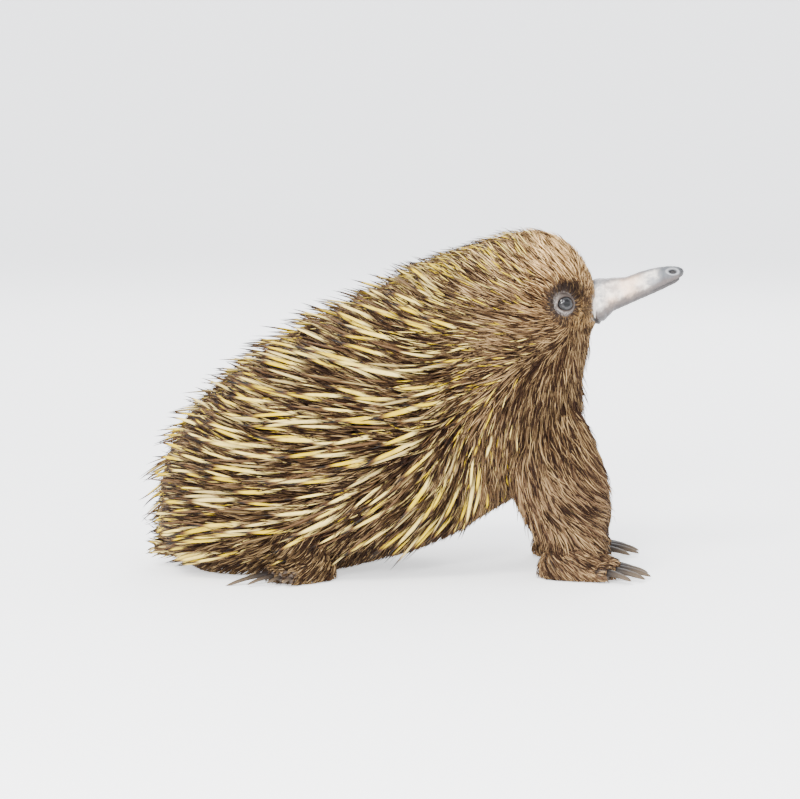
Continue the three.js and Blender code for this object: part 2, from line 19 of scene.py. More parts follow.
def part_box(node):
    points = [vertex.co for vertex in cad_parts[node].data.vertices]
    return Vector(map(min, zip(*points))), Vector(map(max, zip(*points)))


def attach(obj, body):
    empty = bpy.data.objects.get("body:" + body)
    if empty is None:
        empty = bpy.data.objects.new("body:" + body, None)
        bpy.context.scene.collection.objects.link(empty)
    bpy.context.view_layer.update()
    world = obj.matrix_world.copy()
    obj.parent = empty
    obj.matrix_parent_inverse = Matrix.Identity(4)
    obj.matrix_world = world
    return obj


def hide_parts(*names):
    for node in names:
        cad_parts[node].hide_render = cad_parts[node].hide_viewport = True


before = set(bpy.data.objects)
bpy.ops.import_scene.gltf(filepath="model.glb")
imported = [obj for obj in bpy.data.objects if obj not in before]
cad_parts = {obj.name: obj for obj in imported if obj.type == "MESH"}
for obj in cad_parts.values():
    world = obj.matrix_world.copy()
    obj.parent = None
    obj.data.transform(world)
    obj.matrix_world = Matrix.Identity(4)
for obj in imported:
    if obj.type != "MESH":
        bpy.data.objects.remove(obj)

LOG = logging.getLogger("echidna")
MM = 0.001
BEAK_TIP = 202.4
SHIFT = BEAK_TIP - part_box("beak")[1][0] / MM  # the body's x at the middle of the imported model
Array = np.ndarray
Measure = Callable[[Array, Array], Array]  # a number at each place, from the points and the normals there

# The trunk, rump to face: the back (x, z), the belly (x, z), half the width, and how far up it is widest.
TRUNK = (
    ((-186, 48), (-186, 44), 2.5, 0.5),
    ((-182, 74), (-181, 19), 38, 0.45),
    ((-171, 103), (-165, 3), 64, 0.42),
    ((-149, 129), (-140, -4), 82, 0.4),
    ((-110, 160), (-92, -3), 94, 0.4),
    ((-62, 187), (-40, 7), 97, 0.4),
    ((-15, 209), (12, 22), 92, 0.42),
    ((28, 230), (60, 48), 81, 0.44),
    ((61, 244), (104, 76), 66, 0.46),
    ((88, 252), (120.5, 117), 51, 0.48),
    ((106, 248.5), (121, 147), 42, 0.5),
    ((118, 239), (126, 168), 34, 0.5),
    ((127, 228), (132, 183), 24, 0.5),
    ((133, 218), (137, 191), 14.5, 0.5),
)
# The beak, base to tip, in the same way.
BEAK = (
    ((130.0, 217.5), (131.0, 186.4), 13.5, 0.5),
    ((136.6, 220.2), (138.4, 185.7), 15.0, 0.5),
    ((143.0, 220.3), (143.2, 189.2), 12.4, 0.5),
    ((149.5, 220.9), (149.6, 195.4), 10.8, 0.5),
    ((158, 221.4), (155.6, 198.2), 9.6, 0.5),
    ((170, 225.6), (165.8, 202.8), 8.3, 0.5),
    ((183.5, 228.9), (178.2, 208.2), 7.3, 0.5),
    ((195, 229.6), (189.4, 213.4), 6.2, 0.5),
    ((200.8, 228), (197.8, 218.2), 4.1, 0.5),
    ((202.4, 225.6), (201.8, 223.6), 1, 0.5),
)
# The lie of the coat seen from the right: x, z, and the way the tips point, in degrees up from +x.
LIE = (
    (128, 230, 115), (98, 246, 135), (109, 215, 140), (79, 249, 140), (48, 234, 150), (3, 226, 157),
    (86, 204, 168), (64, 181, 172), (94, 181, 195), (33, 150, 200), (-28, 158, 164), (-20, 128, 177),
    (-88, 90, 178), (-149, 105, 160), (-164, 67, 169), (-180, 36, 175), (-149, 14, 180), (-12, 52, 200),
    (18, 52, 212), (41, 67, 230), (56, 52, 257), (71, 97, 255), (86, 128, 250), (109, 158, 262),
    (128, 173, 267), (124, 128, 289), (104, 96, 290), (77, 73, 294), (91, 59, 309), (109, 60, 315),
    (123, 45, 322), (137, 54, 335), (110, 26, 300), (50, 73, 268),
)
EYE_X = 110.6
EYE_Z = 203.7
EYE_RADIUS = 7.5
EYE_SUNK = 4.9  # how far an eye's middle lies under the tips of the short fur
EYE_NEAR = (9, 19)  # the distances from an eye between which the coat stops turning away from it
EYE_TURN = 2.2  # how strongly it turns away there, against the lie
LID_REACH = 7.8  # how far from an eye's place the bare lids reach
CHIN_FOLD = (139.8, 0, 194.6)  # the middle of the arc of the fold under the beak's base
CHIN_RADIUS = 7.2
CHIN_TOP = (193.5, 196.5)  # the heights between which that fold runs out
SHORT_FUR = 3.5  # how far the head's short fur stands off
DEPTH = 3.2  # how far the skin lies inside the frame's core under spines and long fur
FLOOR = 0.4  # the lowest that any hair or spine comes
SEED = 11


class Side(Enum):
    """The two sides of the animal, with the sign of y on each."""

    RIGHT = -1
    LEFT = 1

    @property
    def word(self) -> str:
        """The side's name as the frame spells it."""
        return self.name.lower()


def smooth(value: Array, start: float, end: float) -> Array:
    """Goes from 0 at start to 1 at end, flat at both."""
    share = np.clip((value - start) / (end - start), 0, 1)
    return share * share * (3 - 2 * share)


def mixed(a: Array, b: Array, share: Array) -> Array:
    """A value between a and b."""
    return a + (b - a) * share


def unit(vectors: Array) -> Array:
    """Vectors scaled to a length of 1."""
    return vectors / np.maximum(np.linalg.norm(vectors, axis=-1, keepdims=True), 1e-9)


def dot(a: Array, b: Array) -> Array:
    """Dot products along the last axis, which is kept."""
    return (a * b).sum(-1, keepdims=True)


def flattened(vectors: Array, normals: Array) -> Array:
    """Vectors laid into the planes that normals stand on, with a length of 1."""
    return unit(vectors - normals * dot(vectors, normals))


def in_frame(points: Array) -> Array:
    """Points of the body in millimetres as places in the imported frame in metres."""
    return (points - np.array([SHIFT, 0, 0])) * MM


class SmoothLine:
    """A curve through points at even shares, eased by the distance between them."""

    def __init__(self, points: Sequence[Sequence[float]]) -> None:
        """Works out the cubic of each stretch.

        Args:
            points: The points that the curve goes through.
        """
        given = np.array(points, float)
        p = np.vstack([2 * given[0] - given[1], given, 2 * given[-1] - given[-2]])
        gap = np.linalg.norm(np.diff(p, axis=0), axis=1)[:, None] ** 0.5
        a, b, c, d = p[:-3], p[1:-2], p[2:-1], p[3:]
        here = np.where(gap[1:-1] < 1e-4, 1, gap[1:-1])
        before, after = (np.where(side < 1e-4, here, side) for side in (gap[:-2], gap[2:]))
        start = ((b - a) / before - (c - a) / (before + here) + (c - b) / here) * here
        end = ((c - b) / here - (d - b) / (here + after) + (d - c) / after) * here
        self.cubics = np.stack([b, start, -3 * b + 3 * c - 2 * start - end, 2 * b - 2 * c + start + end])

    def at(self, share: Array) -> Array:
        """The points at shares of the curve from 0 to 1.

        Args:
            share: Shares of the curve.

        Returns:
            The points.
        """
        stretches = self.cubics.shape[1]
        place = np.clip(share, 0, 1) * stretches
        index = np.minimum(place.astype(int), stretches - 1)
        w = (place - index)[..., None]
        c0, c1, c2, c3 = self.cubics[:, index]
        return c0 + w * (c1 + w * (c2 + w * c3))


class Surface:
    """A shape with two coordinates on its skin: u from end to end and v round it, both from 0 to 1."""

    NUDGE = 0.002  # the step in u and v over which slopes are measured
    turned: int = 1  # -1 where the surface is a mirror image, so that its normals still point out

    def at(self, u: Array, v: Array) -> Array:
        """The points at coordinates."""
        raise NotImplementedError

    def slopes(self, u: Array, v: Array) -> tuple[Array, Array, Array]:
        """How the skin runs at coordinates.

        Args:
            u: Shares from end to end.
            v: Shares round.

        Returns:
            The change of place with u, the change with v, and the normal, which points out.
        """
        near = np.clip(u, self.NUDGE, 1 - self.NUDGE)
        along = (self.at(near + self.NUDGE, v) - self.at(near - self.NUDGE, v)) / (2 * self.NUDGE)
        round_ = (self.at(near, v + self.NUDGE) - self.at(near, v - self.NUDGE)) / (2 * self.NUDGE)
        return along, round_, unit(np.cross(round_, along)) * self.turned

    def scatter(self, rng: np.random.Generator, along: float, apart: float,
                jitter: float) -> tuple[Array, Array]:
        """Places spread evenly over the skin.

        Args:
            rng: The source of random numbers.
            along: Millimetres between rows.
            apart: Millimetres between places in a row.
            jitter: How far a place strays, as a share of the spacing.

        Returns:
            Their u and v.
        """
        fine = np.linspace(0.003, 0.997, 400)
        steps = np.linalg.norm(np.diff(self.at(fine, np.full_like(fine, 0.2)), axis=0), axis=1)
        walked = np.concatenate([[0], np.cumsum(steps)])
        turns = np.linspace(0, 1, 97)
        us, vs = [], []
        for row, u in enumerate(np.interp(np.arange(along / 2, walked[-1], along), walked, fine)):
            loop = self.at(np.full_like(turns, u), turns)
            round_ = np.concatenate([[0], np.cumsum(np.linalg.norm(np.diff(loop, axis=0), axis=1))])
            count = max(int(round_[-1] / apart), 3)
            offset = np.arange(count) + 0.5 * (row % 2) + rng.uniform(-jitter, jitter, count)
            vs.append(np.interp(offset % count * round_[-1] / count, round_, turns))
            us.append(np.clip(u + rng.uniform(-jitter, jitter, count) * along / walked[-1], 0.001, 0.999))
        return np.concatenate(us), np.concatenate(vs)


class Profile(Surface):
    """A body between a top line and a bottom line in the middle plane."""

    SPACED = 10  # how far apart the girth's stations are drawn, and how much its shares are enlarged there

    def __init__(self, stations: Sequence) -> None:
        """Draws the lines of the body.

        Args:
            stations: The top point, the bottom point, half the width and the widest share at each station.
        """
        self.top = SmoothLine([(x, 0, z) for (x, z), _, _, _ in stations])
        self.bottom = SmoothLine([(x, 0, z) for _, (x, z), _, _ in stations])
        spaced = self.SPACED
        self.girth = SmoothLine([(i * spaced, row[2], row[3] * spaced) for i, row in enumerate(stations)])

    def at(self, u: Array, v: Array) -> Array:
        """The points at coordinates: v runs from the top down the animal's right side.

        Args:
            u: Shares from the rump or the base to the front.
            v: Shares round.

        Returns:
            The points.
        """
        top, bottom, girth = self.top.at(u), self.bottom.at(u), self.girth.at(u)
        middle = mixed(bottom, top, girth[..., 2:3] / self.SPACED)
        cos, sin = np.cos(2 * np.pi * v)[..., None], np.sin(2 * np.pi * v)[..., None]
        above = np.linalg.norm(top - middle, axis=-1, keepdims=True)
        below = np.linalg.norm(bottom - middle, axis=-1, keepdims=True)
        rise = np.where(cos > 0, cos * above, -np.abs(cos) ** 0.9 * below)
        out = np.sign(sin) * np.abs(sin) ** 0.95 * girth[..., 1:2]
        return middle + unit(top - bottom) * rise - out * np.array([0, 1, 0])

    def nearest(self, x: float, z: float, side: Side) -> tuple[Array, Array]:
        """The place on one side that is nearest to (x, z) seen from the side.

        Args:
            x: Millimetres along the body.
            z: Millimetres up.
            side: The side to look at.

        Returns:
            The point and its normal.
        """
        u, v = np.meshgrid(np.linspace(0, 1, 261), np.linspace(0.008, 0.5, 63), indexing="ij")
        v = v if side is Side.RIGHT else 1 - v
        points = self.at(u, v)
        index = np.unravel_index(np.argmin(np.hypot(points[..., 0] - x, points[..., 2] - z)), u.shape)
        return points[index], self.slopes(u[index], v[index])[2]


class Limb(Surface):
    """A leg or a foot: rings round a line of centres."""

    def __init__(self, rings: Sequence[tuple[Sequence[float], Sequence[float], Sequence[float]]]) -> None:
        """Draws curves through the rings.

        Args:
            rings: The centre, the half axis forwards and the half axis outwards of each ring.
        """
        self.lines = [SmoothLine([ring[i] for ring in rings]) for i in range(3)]

    def at(self, u: Array, v: Array) -> Array:
        """The points at coordinates: v runs round from the front, against the half axis outwards.

        Args:
            u: Shares from the first ring to the last.
            v: Shares round.

        Returns:
            The points.
        """
        centre, ahead, out = (line.at(u) for line in self.lines)
        turn = 2 * np.pi * v[..., None]
        return centre + ahead * np.cos(turn) - out * np.sin(turn)


TRUNK_SURFACE = Profile(TRUNK)
BEAK_SURFACE = Profile(BEAK)
EYE_PLACES = {side: TRUNK_SURFACE.nearest(EYE_X, EYE_Z, side)[0] for side in Side}


def spininess(points: Array, normals: Array) -> Array:
    """How far spines have taken over from fur: 0 on the face, chest and belly, 1 on the back.

    Args:
        points: Places on the body.
        normals: The skin's normals there.

    Returns:
        Shares from 0 to 1.
    """
    high = smooth(points[..., 2], 165, 212)
    front = 88 - 16 * smooth(points[..., 2], 150, 185) + 18 * smooth(points[..., 2], 215, 250)
    share = np.clip((front - points[..., 0]) / (60 + 45 * high), 0, 1)
    return share * share * (3 - 2 * share) * smooth(normals[..., 2], -0.86, -0.5)


def short_fur(points: Array) -> Array:
    """How far the head's short fur stands off, which ends at the bare beak."""
    face = smooth(points[..., 0], 84, 104) * smooth(points[..., 2], 150, 180)
    return SHORT_FUR * face * (1 - smooth(points[..., 0], 118, 134))


def skin_level(points: Array) -> Array:
    """How far the skin lies outside the trunk's surface, or inside it where the number is below 0."""
    furry = mixed(-DEPTH, 0.6, short_fur(points) / SHORT_FUR)
    return mixed(furry, 0.2, smooth(points[..., 0], 118, 131))


def lie_at(points: Array, droop: float = 0) -> Array:
    """The way of the coat at points, seen from the side.

    Args:
        points: Places on the body.
        droop: How much more it hangs down, 0 for not at all.

    Returns:
        Vectors of length 1 in the plane of x and z.
    """
    table = np.array(LIE, float)
    away = np.hypot(points[:, None, 0] - table[:, 0], points[:, None, 2] - table[:, 1])
    weight = 1 / (away + 8) ** 3
    turn = np.radians(table[:, 2])
    ways = np.stack([weight @ np.cos(turn), np.zeros(len(points)), weight @ np.sin(turn)], axis=1)
    return unit(unit(ways) - np.array([0, 0, droop]))


def along_surface(points: Array, normals: Array, droop: float = 0) -> Array:
    """The way of the coat along the skin.

    Seen from the side it is as the lie has it. It runs down where the skin faces the way the coat points, and
    away from the eyes close to them.

    Args:
        points: Places on the body.
        normals: The skin's normals there.
        droop: How much more the coat hangs down.

    Returns:
        Vectors of length 1 along the skin.
    """
    down = np.array([0, 0, -0.25]) * np.maximum(-normals[:, :1], 0)
    flat = lie_at(points, droop)
    facing, out = dot(flat, normals), normals[:, 1:2]
    across = -facing * np.sign(out) / np.maximum(np.abs(out), 0.3)
    seen = flat + np.concatenate([np.zeros_like(across), across, np.zeros_like(across)], axis=1)
    start = 0.1 + 0.3 * smooth(normals[:, :1], 0.2, 0.6)
    way = mixed(flat - normals * facing, seen, 0.85 * smooth(np.abs(out), start, start + 0.4))
    way = flattened(way + down, normals)
    for side in Side:
        away = points - EYE_PLACES[side]
        near = 1 - smooth(np.linalg.norm(away, axis=1), *EYE_NEAR)
        way = way + EYE_TURN * near[:, None] * flattened(away, normals)
    return flattened(way, normals)


# Meshes

def mesh_of(name: str, points: Array, faces: Array, smooth_faces: bool = True) -> bpy.types.Object:
    """Makes an object from points in millimetres and faces that all have as many corners.

    Args:
        name: The object's name.
        points: One row for each point.
        faces: One row of point numbers for each face.
        smooth_faces: Whether the faces are shaded smooth.

    Returns:
        The object, linked to the scene.
    """
    mesh = bpy.data.meshes.new(name)
    mesh.vertices.add(len(points))
    mesh.vertices.foreach_set("co", in_frame(points).astype(np.float32).ravel())
    mesh.loops.add(faces.size)
    mesh.loops.foreach_set("vertex_index", faces.astype(np.int32).ravel())
    mesh.polygons.add(len(faces))
    mesh.polygons.foreach_set("loop_start", np.arange(0, faces.size, faces.shape[1], dtype=np.int32))
    mesh.polygons.foreach_set("use_smooth", np.full(len(faces), smooth_faces))
    mesh.update(calc_edges=True)
    obj = bpy.data.objects.new(name, mesh)
    bpy.context.scene.collection.objects.link(obj)
    return obj


def even_turns(count: int) -> Array:
    """Even turns round a circle, in radians."""
    return np.arange(count) / count * 2 * np.pi


def tube_faces(rings: int, sides: int) -> Array:
    """The four-cornered faces between rings of points that follow one another.

    Args:
        rings: How many rings there are.
        sides: How many points each has.

    Returns:
        One row of point numbers for each face.
    """
    ring, side = np.meshgrid(np.arange(rings - 1), np.arange(sides), indexing="ij")
    after = (side + 1) % sides
    near, far = ring * sides, (ring + 1) * sides
    return np.stack([near + side, near + after, far + after, far + side], axis=-1).reshape(-1, 4)


def mend(obj: bpy.types.Object, close: bool = False) -> None:
    """Turns an object's faces to point out.

    Args:
        obj: The object.
        close: Whether its open ends are closed first.
    """
    shape = bmesh.new()
    shape.from_mesh(obj.data)
    if close:
        bmesh.ops.holes_fill(shape, edges=[edge for edge in shape.edges if edge.is_boundary])
    bmesh.ops.recalc_face_normals(shape, faces=shape.faces)
    shape.to_mesh(obj.data)
    shape.free()


def closed_tube(name: str, points: Array) -> bpy.types.Object:
    """A closed object through rings of points, each end closed by one face.

    Args:
        name: The object's name.
        points: Points by ring and side.

    Returns:
        The object, with its faces pointing out.
    """
    obj = mesh_of(name, points.reshape(-1, 3), tube_faces(*points.shape[:2]))
    mend(obj, close=True)
    return obj


def joined(name: str, parts: Sequence[bpy.types.Object]) -> bpy.types.Object:
    """Joins objects into the first of them.

    Args:
        name: The name of what comes out.
        parts: The objects.

    Returns:
        The first object, which holds them all.
    """
    bpy.ops.object.select_all(action="DESELECT")
    for part in parts:
        part.select_set(True)
    bpy.context.view_layer.objects.active = parts[0]
    bpy.ops.object.join()
    parts[0].name = name
    return parts[0]


def apply_modifier(obj: bpy.types.Object, kind: str, **settings: object) -> None:
    """Adds a modifier with settings and applies it.

    Args:
        obj: The object.
        kind: The modifier's type.
        settings: What its properties are set to.
    """
    modifier = obj.modifiers.new(kind, kind)
    for key, value in settings.items():
        setattr(modifier, key, value)
    bpy.context.view_layer.objects.active = obj
    bpy.ops.object.modifier_apply(modifier=modifier.name)


def settle(piece: bpy.types.Object, replaced: Sequence[str] = ()) -> bpy.types.Object:
    """Hands a piece to the frame.

    Args:
        piece: The object.
        replaced: The nodes that it stands for.

    Returns:
        The piece.
    """
    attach(piece, "root")
    if replaced:
        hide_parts(*replaced)
    LOG.info("%s: %d faces", piece.name, len(piece.data.polygons))
    return piece


# Finishes

Input = Union["Value", float, tuple]


class Value:
    """A shader socket that takes part in arithmetic."""

    def __init__(self, tree: "Tree", socket: bpy.types.NodeSocket) -> None:
        """Wraps a socket of a tree."""
        self.tree, self.socket = tree, socket

    def _math(self, operation: str, a: Input, b: Input) -> "Value":
        """Adds one Math node."""
        return self.tree.node("ShaderNodeMath", {"operation": operation}, {0: a, 1: b})

    def __add__(self, other: Input) -> "Value":
        """self + other."""
        return self._math("ADD", self, other)

    def __sub__(self, other: Input) -> "Value":
        """self - other."""
        return self._math("SUBTRACT", self, other)

    def __rsub__(self, other: Input) -> "Value":
        """other - self."""
        return self._math("SUBTRACT", other, self)

    def __mul__(self, other: Input) -> "Value":
        """self * other."""
        return self._math("MULTIPLY", self, other)

    __radd__ = __add__
    __rmul__ = __mul__

    def most(self, other: Input) -> "Value":
        """The larger of two values."""
        return self._math("MAXIMUM", self, other)

    def ramp(self, start: float, end: float, low: float = 0, high: float = 1) -> "Value":
        """Goes smoothly from low at start to high at end."""
        inputs = {"Value": self, "From Min": start, "From Max": end, "To Min": low, "To Max": high}
        return self.tree.node("ShaderNodeMapRange", {"interpolation_type": "SMOOTHSTEP"}, inputs)


class Tree:
    """The nodes of one material."""

    def __init__(self, name: str) -> None:
        """Starts a material with its shader.

        Args:
            name: The material's name.
        """
        self.material = bpy.data.materials.new(name)
        self.material.use_nodes = True
        self.nodes = self.material.node_tree.nodes
        self.links = self.material.node_tree.links
        self.shader = next(node for node in self.nodes if node.type == "BSDF_PRINCIPLED")

    def node(self, kind: str, settings: dict | None = None, inputs: dict | None = None,
             output: int | str = 0) -> Value:
        """Adds a node.

        Args:
            kind: The node's type.
            settings: Its settings, which are set first.
            inputs: What its sockets hold, or the values they are linked to.
            output: The name or number of the socket that is used.

        Returns:
            That socket.
        """
        node = self.nodes.new(kind)
        for key, value in (settings or {}).items():
            setattr(node, key, value)
        for key, value in (inputs or {}).items():
            self.feed(node.inputs[key], value)
        return Value(self, node.outputs[output])

    def mirrored(self, vector: Value) -> Value:
        """A place as it would be on the animal's left.

        Args:
            vector: A place on either side.

        Returns:
            The place with its y made positive.
        """
        x, y, z = self.parts(vector)
        across = self.node("ShaderNodeMath", {"operation": "ABSOLUTE"}, {0: y})
        return self.node("ShaderNodeCombineXYZ", None, {0: x, 1: across, 2: z})

    def feed(self, socket: bpy.types.NodeSocket, value: Input) -> None:
        """Links a value to a socket, or sets a number or colour on it.

        Args:
            socket: The socket.
            value: A value, a number or a colour.
        """
        if isinstance(value, Value):
            self.links.new(value.socket, socket)
        elif isinstance(value, tuple) and len(value) == 3 and socket.type == "RGBA":
            socket.default_value = (*value, 1)
        else:
            socket.default_value = value

    def shade(self, **sockets: Input) -> bpy.types.Material:
        """Sets the shader's sockets, named with _ for a space, and returns the material.

        Args:
            sockets: What each socket holds or is linked to.

        Returns:
            The material.
        """
        for name, value in sockets.items():
            self.feed(self.shader.inputs[name.replace("_", " ")], value)
        return self.material

    def mix(self, share: Input, a: Input, b: Input) -> Value:
        """Mixes two colours: a at a share of 0, b at 1."""
        settings = {"data_type": "RGBA", "clamp_factor": True}
        return self.node("ShaderNodeMix", settings, {0: share, 6: a, 7: b}, 2)

    def place(self) -> Value:
        """The place on the body in millimetres.

        Returns:
            A vector.
        """
        here = self.node("ShaderNodeTexCoord", None, None, "Object")
        inputs = {0: here, 1: (1 / MM,) * 3, 2: (SHIFT, 0, 0)}
        return self.node("ShaderNodeVectorMath", {"operation": "MULTIPLY_ADD"}, inputs)

    def parts(self, vector: Value) -> tuple[Value, Value, Value]:
        """The x, y and z of a vector."""
        split = self.node("ShaderNodeSeparateXYZ", None, {0: vector})
        return tuple(Value(self, split.socket.node.outputs[axis]) for axis in range(3))

    def away_from(self, vector: Value, centre: tuple[float, float, float]) -> Value:
        """How far a place is from a point."""
        return self.node("ShaderNodeVectorMath", {"operation": "DISTANCE"}, {0: vector, 1: centre}, "Value")

    def noise(self, vector: Value, scale: float, detail: float = 2, roughness: float = 0.5) -> Value:
        """Cloudy noise, from 0 to 1, with its scale per unit of the vector."""
        inputs = {"Vector": vector, "Scale": scale, "Detail": detail, "Roughness": roughness}
        return self.node("ShaderNodeTexNoise", None, inputs, "Fac")

    def stretched(self, vector: Value, scales: tuple[float, float, float]) -> Value:
        """A vector with each part scaled."""
        return self.node("ShaderNodeVectorMath", {"operation": "MULTIPLY"}, {0: vector, 1: scales})

    def own(self, name: str) -> Value:
        """A number that the mesh holds at each point."""
        return self.node("ShaderNodeAttribute", {"attribute_name": name}, None, "Fac")

    def bump(self, height: Value, strength: float, distance: float) -> Value:
        """A normal raised by a height, with the distance in millimetres."""
        inputs = {"Strength": strength, "Distance": distance * MM, "Height": height}
        return self.node("ShaderNodeBump", None, inputs, "Normal")


@dataclass(frozen=True)
class Markings:
    """The colours that the coat and the skin under it share."""

    gold: tuple = (0.212, 0.111, 0.044)
    crown: tuple = (0.405, 0.238, 0.090)
    umber: tuple = (0.016, 0.008, 0.005)
    chest: tuple = (0.066, 0.034, 0.015)
    limb: tuple = (0.146, 0.082, 0.042)
    under: tuple = (0.056, 0.029, 0.012)
    tan: tuple = (0.250, 0.148, 0.070)
    dusk: tuple = (0.034, 0.018, 0.011)
    bleached: tuple = (1.0, 0.67, 0.31)

    def colour(self, tree: Tree) -> Value:
        """The colour of the coat at each place.

        Args:
            tree: The material's nodes.

        Returns:
            A colour.
        """
        x, _, z = tree.parts(tree.place())
        head = z.ramp(176, 206) * x.ramp(58, 90)
        colour = tree.mix(x.ramp(20, 66), self.under, self.tan)
        low = (1 - z.ramp(164, 206)) * x.ramp(44, 80)
        colour = tree.mix(low, colour, tree.mix(z.ramp(100, 60), self.chest, self.limb))
        colour = tree.mix(head, colour, self.gold)
        colour = tree.mix(head * z.ramp(218, 248), colour, self.crown)
        cheek = x.ramp(114, 121) * z.ramp(207, 200) * z.ramp(184, 190)
        colour = tree.mix(cheek * 0.8, colour, self.crown)
        patches = tree.noise(tree.stretched(tree.place(), (1, 1, 0.6)), 0.055, 3, 0.6)
        return tree.mix(patches.ramp(0.50, 0.70, 0, 0.55) * (1 - head * 0.6), colour, self.dusk)

    def light(self, tree: Tree, colour: Value) -> Value:
        """The colour of the palest hairs, which are paler on the crown and the neck than below."""
        _, _, z = tree.parts(tree.place())
        return tree.mix(z.ramp(192, 244, 0.30, 0.84), colour, self.bleached)

    def shade(self, tree: Tree) -> Value:
        """How far umber covers each place: the brow, a ring round the eye, and the jaw behind the beak.

        Args:
            tree: The material's nodes.

        Returns:
            A share.
        """
        place = tree.place()
        mirrored = tree.mirrored(place)
        x, _, z = tree.parts(place)
        eye = EYE_PLACES[Side.LEFT]
        ragged = (tree.noise(place, 0.45, 3) - 0.5) * 8
        oval = tree.stretched(mirrored, (1, 1, 1.9))
        over = tree.away_from(oval, (eye[0] + 6, eye[1] - 2, (eye[2] + 9) * 1.9))
        brow = (1 - (over + ragged).ramp(12, 20)) * x.ramp(eye[0] + 5, eye[0] + 17, 1.0, 0.75)
        ring = 1 - (tree.away_from(mirrored, tuple(eye)) + ragged * 0.3).ramp(12, 16.5)
        ring = ring * z.ramp(eye[2] - 10, eye[2] - 1, 0.3, 1.0) * x.ramp(eye[0] + 3, eye[0] - 5, 0.3, 1.0)
        low = tree.stretched(mirrored, (1, 0.3, 2.6))
        jaw = 1 - tree.away_from(low, (127.0, 7.0, 182.5 * 2.6)).ramp(4, 9)
        return brow.most(ring).most(jaw * 0.7)


@dataclass(frozen=True)
class FurFinish:
    """Coarse fur: each hair darker at its root, lighter or darker than the next, and painted darker on its
    sides and underside as shade.
    """

    markings: Markings = field(default_factory=Markings)
    dark: tuple = (0.016, 0.006, 0.003)
    root: tuple = (0.022, 0.011, 0.006)
    # painted shade on the sides and underside of each hair
    furrow: tuple = (0.020, 0.010, 0.006)

    def material(self) -> bpy.types.Material:
        """Builds the material.

        Returns:
            The material.
        """
        tree = Tree("fur")
        along, tone, ridge = tree.own("along"), tree.own("tone"), tree.own("ridge")
        colour = self.markings.colour(tree)
        dark = tree.mix(tone.ramp(0.57, 0.28, 0, 0.95), colour, self.dark)
        colour = tree.mix(tone.ramp(0.56, 0.94), dark, self.markings.light(tree, colour))
        colour = tree.mix(along.ramp(0.0, 0.42, 0.75, 0), colour, self.root)
        # painted shade: each hair darker on its sides and underside, the further down round it a point lies
        colour = tree.mix(ridge.ramp(0.7, 0.15, 0, 0.5), colour, self.furrow)
        shaded = self.markings.shade(tree) * tone.ramp(0.98, 0.65, 0.82, 1.0)
        colour = tree.mix(shaded, colour, self.markings.umber)
        bump = tree.bump(tree.noise(tree.place(), 1.2, 3), 0.3, 0.2)
        return tree.shade(Base_Color=colour, Roughness=0.62, Normal=bump, Specular_IOR_Level=0.12)


@dataclass(frozen=True)
class SpineFinish:
    """Horn spines: brown roots, cream shafts that yellow to amber, near-black tips, and painted shade on
    their sides and undersides.
    """

    brown: tuple = (0.078, 0.040, 0.015)
    cream: tuple = (0.97, 0.76, 0.27)
    yellow: tuple = (0.57, 0.385, 0.0)
    mottle: tuple = (0.17, 0.10, 0.05)
    root: tuple = (0.036, 0.017, 0.007)
    band: tuple = (0.085, 0.038, 0.012)
    tip: tuple = (0.008, 0.006, 0.005)
    # painted shade on the sides and underside of each spine
    furrow: tuple = (0.028, 0.012, 0.005)

    def material(self) -> bpy.types.Material:
        """Builds the material.

        Returns:
            The material.
        """
        tree = Tree("spines")
        along, tone, ridge = tree.own("along"), tree.own("tone"), tree.own("ridge")
        shaft = tree.mix(tone.ramp(0.24, 0.58), self.brown, self.cream)
        yellow = along.ramp(0.28, 0.56, 0.08, 1) * tone.ramp(0.36, 0.72)
        shaft = tree.mix(yellow, shaft, self.yellow)
        mottled = tree.noise(tree.place(), 0.30, 3)
        shaft = tree.mix(mottled.ramp(0.52, 0.78, 0, 0.45), shaft, self.mottle)
        colour = tree.mix(along.ramp(0.12, 0.46, 1, 0), shaft, self.root)
        wavering = along + (tone - 0.5) * 0.12
        colour = tree.mix(wavering.ramp(0.70, 0.82), colour, self.band)
        colour = tree.mix(wavering.ramp(0.78, 0.88), colour, self.tip)
        # painted shade: each spine darker on its sides and underside
        colour = tree.mix(ridge.ramp(0.75, 0.2, 0, 0.9), colour, self.furrow)
        bump = tree.bump(tree.noise(tree.place(), 1.6, 4), 0.25, 0.15)
        return tree.shade(Base_Color=colour, Roughness=0.48, Normal=bump, Specular_IOR_Level=0.14)


